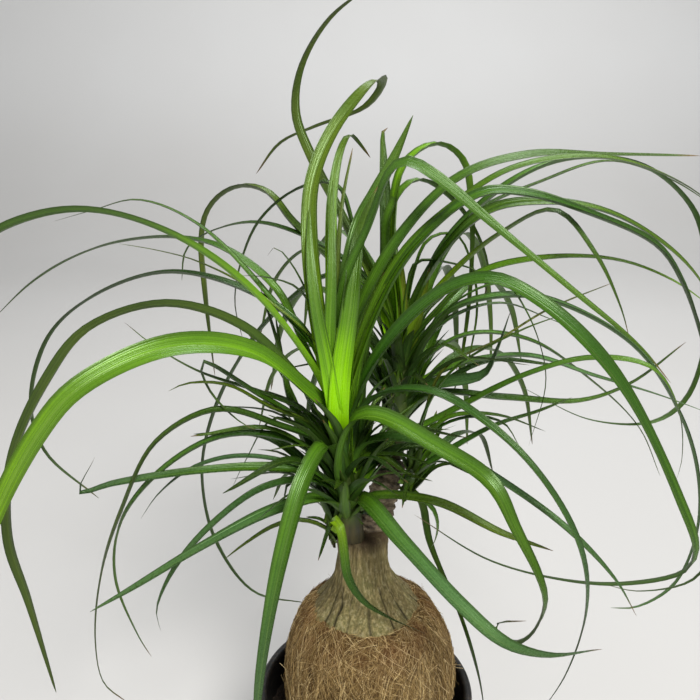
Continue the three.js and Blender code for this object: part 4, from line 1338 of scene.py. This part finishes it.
def strand_group():
    """Loose strands laid on a mat: bent lines scattered over it, turned at random about an
    upright lean, pulled down on the mat and given a little thickness."""
    tree, given, output = geometry_group("laid_strands", {
        "Density": (FLOAT, 30000.0),
        "Length": (FLOAT, 0.05),
        "Strand Radius": (FLOAT, 0.00018),
        "Stray": (FLOAT, 0.0012),
        "Side Lean": (FLOAT, 0.35),
        "Front Lean": (FLOAT, 1.3),
        "Darkest": (FLOAT, 0.0),
        "Lightest": (FLOAT, 1.0),
        "Seed": (WHOLE, 3),
        "Material": (PAINT, None),
    })
    mat = given.outputs["Geometry"]
    seed = given.outputs["Seed"]
    side_lean, front_lean = given.outputs["Side Lean"], given.outputs["Front Lean"]
    scatter = tree.add("GeometryNodeDistributePointsOnFaces", {
        "Mesh": mat, "Density": given.outputs["Density"], "Seed": seed,
        "Selection": named(tree, "outer"),
    })
    upright = tree.add("FunctionNodeAlignRotationToVector", {
        "Rotation": scatter.outputs["Rotation"], "Vector": (0.0, 0.0, 1.0),
    }, axis="Y", pivot_axis="Z")
    # strands lean further over in front and at the back than at the sides
    level_way = tree.vector("MULTIPLY", scatter.outputs["Normal"], (1.0, 1.0, 0.0))
    level_way = tree.vector("NORMALIZE", level_way)
    facing = tree.add("ShaderNodeSeparateXYZ", {0: level_way}).outputs[1]
    frontal = tree.math("POWER", tree.math("ABSOLUTE", facing), 2.0)
    range_of_lean = tree.math("SUBTRACT", front_lean, side_lean)
    widest = tree.math("MULTIPLY_ADD", frontal, range_of_lean, side_lean)
    lean = tree.math("MULTIPLY", chance(tree, seed, 11, -1.0, 1.0), widest)
    spin = tree.add("FunctionNodeAxisAngleToRotation", {"Axis": (0.0, 0.0, 1.0), "Angle": lean})
    turned_about = tree.add("FunctionNodeRotateRotation", {
        "Rotation": upright, "Rotate By": spin,
    }, rotation_space="LOCAL")
    tone = chance(tree, seed, 13, given.outputs["Darkest"], given.outputs["Lightest"])
    points = stored(tree, scatter.outputs["Points"], "tone", tone)
    points = stored(tree, points, "lift", chance(tree, seed, 14, 0.0, 1.0))
    bow = tree.add("GeometryNodeCurveQuadraticBezier", {
        "Resolution": 6,
        "Start": (0.0, -0.5, 0.0), "Middle": (0.3, 0.0, 0.0), "End": (0.0, 0.5, 0.0),
    })
    factor = tree.add("GeometryNodeSplineParameter").outputs["Factor"]
    marked = stored(tree, bow, "along", factor)
    size = tree.math("MULTIPLY", given.outputs["Length"], chance(tree, seed, 15, 0.35, 1.25))
    bend = tree.math("MULTIPLY", size, chance(tree, seed, 16, -1.0, 1.0))
    lines = tree.add("GeometryNodeInstanceOnPoints", {
        "Points": points, "Instance": marked, "Rotation": turned_about,
        "Scale": tree.add("ShaderNodeCombineXYZ", {0: bend, 1: size, 2: size}),
    })
    loose = tree.add("GeometryNodeRealizeInstances", {0: lines})
    spot = tree.add("GeometryNodeInputPosition").outputs[0]
    wobble = tree.add("ShaderNodeTexNoise", {"Vector": spot, "Scale": 90.0, "Detail": 2.0})
    wobble = tree.vector("SUBTRACT", wobble.outputs["Color"], (0.5, 0.5, 0.5))
    shifted = tree.vector("ADD", spot, tree.vector("SCALE", wobble, scale=0.009))
    on_mat, out_from = (
        tree.add("GeometryNodeSampleNearestSurface", {
            "Mesh": mat, "Value": tree.add(kind), "Sample Position": shifted,
        }, data_type="FLOAT_VECTOR").outputs[0]
        for kind in ("GeometryNodeInputPosition", "GeometryNodeInputNormal")
    )
    # the ends of a few strands stray from the mat
    off_middle = tree.math("SUBTRACT", tree.math("MULTIPLY", named(tree, "along"), 2.0), 1.0)
    ends = tree.math("POWER", tree.math("ABSOLUTE", off_middle), 3.0)
    stray = tree.math("MULTIPLY", tree.math("POWER", named(tree, "lift"), 5.0), ends)
    lift = tree.math("MULTIPLY", named(tree, "lift"), 0.0006)
    lift = tree.plus(lift, stray, given.outputs["Stray"])
    laid = tree.add("GeometryNodeSetPosition", {
        "Geometry": loose,
        "Position": tree.vector("ADD", on_mat, tree.vector("SCALE", out_from, scale=lift)),
    })
    section = tree.add("GeometryNodeCurvePrimitiveCircle", {"Resolution": 3, "Radius": 1.0})
    thicker = tree.spread(named(tree, "tone"), 0.0, 1.0, 0.7, 1.15)
    thick = tree.math("MULTIPLY", given.outputs["Strand Radius"], thicker)
    body = tree.add("GeometryNodeCurveToMesh", {
        "Curve": laid, "Profile Curve": section, "Scale": thick, "Fill Caps": True,
    })
    finish_group(tree, body, given.outputs["Material"], output)
    return tree.tree


def crumb_group():
    """Crumbs scattered on a surface: small stones of a few faces, each its own size and turn."""
    tree, given, output = geometry_group("scattered_crumbs", {
        "Density": (FLOAT, 200000.0),
        "Smallest": (FLOAT, 0.0005),
        "Largest": (FLOAT, 0.002),
        "Seed": (WHOLE, 5),
        "Material": (PAINT, None),
    })
    seed = given.outputs["Seed"]
    scatter = tree.add("GeometryNodeDistributePointsOnFaces", {
        "Mesh": given.outputs["Geometry"], "Density": given.outputs["Density"], "Seed": seed,
        "Selection": named(tree, "outer"),
    })
    stone = tree.add("GeometryNodeMeshIcoSphere", {"Radius": 1.0, "Subdivisions": 1})
    turn = chance(tree, seed, 0, (0.0, 0.0, 0.0), (FULL_TURN, FULL_TURN, FULL_TURN))
    squash = chance(tree, seed, 6, (0.6, 0.5, 0.4), (1.2, 1.1, 0.9))
    # most crumbs are small
    smallest, largest = given.outputs["Smallest"], given.outputs["Largest"]
    large = tree.math("POWER", chance(tree, seed, 3, 0.0, 1.0), 3.0)
    size = tree.math("MULTIPLY_ADD", large, tree.math("SUBTRACT", largest, smallest), smallest)
    stones = tree.add("GeometryNodeInstanceOnPoints", {
        "Points": scatter.outputs["Points"], "Instance": stone,
        "Rotation": tree.add("FunctionNodeEulerToRotation", {0: turn}),
        "Scale": tree.vector("SCALE", squash, scale=size),
    })
    finish_group(tree, stones, given.outputs["Material"], output)
    return tree.tree


# ---------------------------------------------------------------- making the plant

GRAIN = fine_grain_group()
VEINS = leaf_vein_group()
BLADES = blade_group()
STRANDS = strand_group()
CRUMBS = crumb_group()

bright_leaf = leaf_material("bright_leaf_green", 0.04)
dark_leaf = leaf_material("deep_leaf_green", 0.06)
husk = husk_material()
for name, crown, green, slot in (
    ("front", FRONT_CROWN, bright_leaf, "bright_leaf"),
    ("back", BACK_CROWN, dark_leaf, "dark_leaf"),
    ("right", RIGHT_CROWN, bright_leaf, "bright_leaf"),
    ("left", LEFT_CROWN, dark_leaf, "dark_leaf"),
):
    blades = grown(name + "_leaves", leaf_lines(name, crown), BLADES, {"Material": green})
    piece(name + "_leaves", blades, name + "_crown")
    piece(name + "_stem", stem_mesh(name + "_stem", crown), name + "_crown", husk)

piece("bulb_bark", bulb_mesh(), "bulb", bark_material())
piece("branch_stub", stub_mesh(), "bulb", stub_material())

mat = mat_mesh()
middle_of_wrap = np.array([BULB_X * MM, 0, (BULB_HEIGHT - 20) * MM])
outwards = face_vectors(mat, "center") - middle_of_wrap
mark_outer(mat, (face_vectors(mat, "normal") * outwards).sum(axis=1) > 0)
strand_finish = fibre_material()
# the lower layers of strands are given darker tones and the top layer lighter ones: painted shade
# under the upper strands
for name, settings in (
    ("coir_under_strands", {
        "Density": 105000.0, "Length": 0.036, "Strand Radius": 0.00012, "Lightest": 0.45, "Seed": 3,
    }),
    ("coir_middle_strands", {
        "Density": 100000.0, "Length": 0.050, "Strand Radius": 0.00012, "Darkest": 0.15,
        "Lightest": 0.8, "Side Lean": 0.22, "Seed": 5,
    }),
    ("coir_top_strands", {
        "Density": 62000.0, "Length": 0.058, "Strand Radius": 0.00013, "Darkest": 0.45,
        "Lightest": 0.95, "Side Lean": 0.16, "Seed": 8,
    }),
    ("coir_stray_strands", {
        "Density": 5000.0, "Length": 0.024, "Strand Radius": 0.00011, "Darkest": 0.3,
        "Stray": 0.007, "Side Lean": 1.4, "Seed": 21,
    }),
):
    strands = grown(name, mat.copy(), STRANDS, {**settings, "Material": strand_finish})
    piece(name, strands, "coir_wrap")
piece("coir_mat", mat, "coir_wrap", coir_mat_material())

piece("pot_skin", pot_mesh(), "pot", pot_material())

soil = soil_mesh()
mark_outer(soil, face_vectors(soil, "normal")[:, 2] > 0.5)
crumbs = grown("soil_crumbs", soil.copy(), CRUMBS, {
    "Material": soil_material("soil_crumbs", (0.012, 0.008, 0.006), (0.060, 0.040, 0.026)),
})
soil_finish = soil_material("potting_mix", (0.007, 0.005, 0.004), (0.030, 0.020, 0.013))
piece("potting_mix", soil, "soil", soil_finish)
piece("soil_crumbs", crumbs, "soil")


# ---------------------------------------------------------------- room, light and camera

PAPER_HALF_WIDTH = 5.0
PAPER_FRONT = -4.0
PAPER_BEND = 2.0  # how far behind the plant the paper starts to rise
PAPER_BEND_RADIUS = 1.2
PAPER_BEND_STEPS = 32
PAPER_TOP = 4.0
CAMERA_PLACE = (-0.0106, -0.424, 0.517)
CAMERA_TILT = 71.9  # degrees up from looking straight down
CAMERA_LENS = 38


def paper_material():
    """Pale paper, paler with height: painted light, brighter up the wall than on the floor."""
    made, tree, shader = material("pale_paper")
    here = object_place(tree)
    wash = grain(tree, here, 1.6, 2.0, 0.6)["Mask"]
    low_paper = mix(tree, wash, (0.54, 0.525, 0.505), (0.58, 0.57, 0.555))
    high_paper = mix(tree, wash, (0.70, 0.69, 0.675), (0.74, 0.735, 0.725))
    rise = tree.spread(height_of(tree, here), 0.0, 0.8, smooth=True)
    paint(tree, shader, mix(tree, rise, low_paper, high_paper), 0.9)
    return made


def backdrop():
    """A sheet of paper that lies under the plant and rises behind it in a round bend."""
    route = [(PAPER_FRONT, 0.0), (0.0, 0.0)]
    for i in range(PAPER_BEND_STEPS + 1):
        turn = math.radians(90 * i / PAPER_BEND_STEPS)
        route.append((
            PAPER_BEND + PAPER_BEND_RADIUS * math.sin(turn),
            PAPER_BEND_RADIUS - PAPER_BEND_RADIUS * math.cos(turn),
        ))
    route.append((PAPER_BEND + PAPER_BEND_RADIUS, PAPER_TOP))
    mesh = bpy.data.meshes.new("backdrop")
    mesh.from_pydata(
        [(x, y, z) for y, z in route for x in (-PAPER_HALF_WIDTH, PAPER_HALF_WIDTH)], [],
        [(2 * i, 2 * i + 1, 2 * i + 3, 2 * i + 2) for i in range(len(route) - 1)],
    )
    mesh.shade_smooth()
    mesh.materials.append(paper_material())
    linked("backdrop", mesh)


def lamp(name, place, aim, size, watts, colour):
    """A round soft lamp at a place, turned to a point. Sizes are in metres."""
    light = bpy.data.lights.new(name, "AREA")
    light.shape, light.size, light.energy, light.color = "DISK", size, watts, colour
    thing = linked(name, light)
    thing.location = place
    thing.rotation_euler = (Vector(aim) - Vector(place)).to_track_quat("-Z", "Y").to_euler()


backdrop()
lamp("key_light", (0.5, -1.3, 1.6), (0.0, 0.0, 0.28), size=0.7, watts=42, colour=(1.0, 0.99, 0.97))
lamp("fill_light", (-1.4, -1.0, 1.2), (0.0, 0.0, 0.3), size=1.4, watts=5, colour=(1.0, 0.97, 0.94))
lamp("top_light", (0.5, 0.9, 2.4), (0.3, 1.6, 0.9), size=1.2, watts=42, colour=(0.96, 0.98, 1.0))

world = bpy.data.worlds.new("studio")
world.use_nodes = True
sky = next(n for n in world.node_tree.nodes if n.type == "BACKGROUND")
sky.inputs["Color"].default_value = (0.80, 0.82, 0.84, 1)
sky.inputs["Strength"].default_value = 0.44
bpy.context.scene.world = world
bpy.context.scene.view_settings.view_transform = "Standard"

camera = bpy.data.cameras.new("camera")
camera.lens, camera.sensor_width = CAMERA_LENS, 36
camera.clip_start, camera.clip_end = 0.02, 50
viewer = linked("camera", camera)
viewer.location = CAMERA_PLACE
viewer.rotation_euler = (math.radians(CAMERA_TILT), 0, 0)
bpy.context.scene.camera = viewer
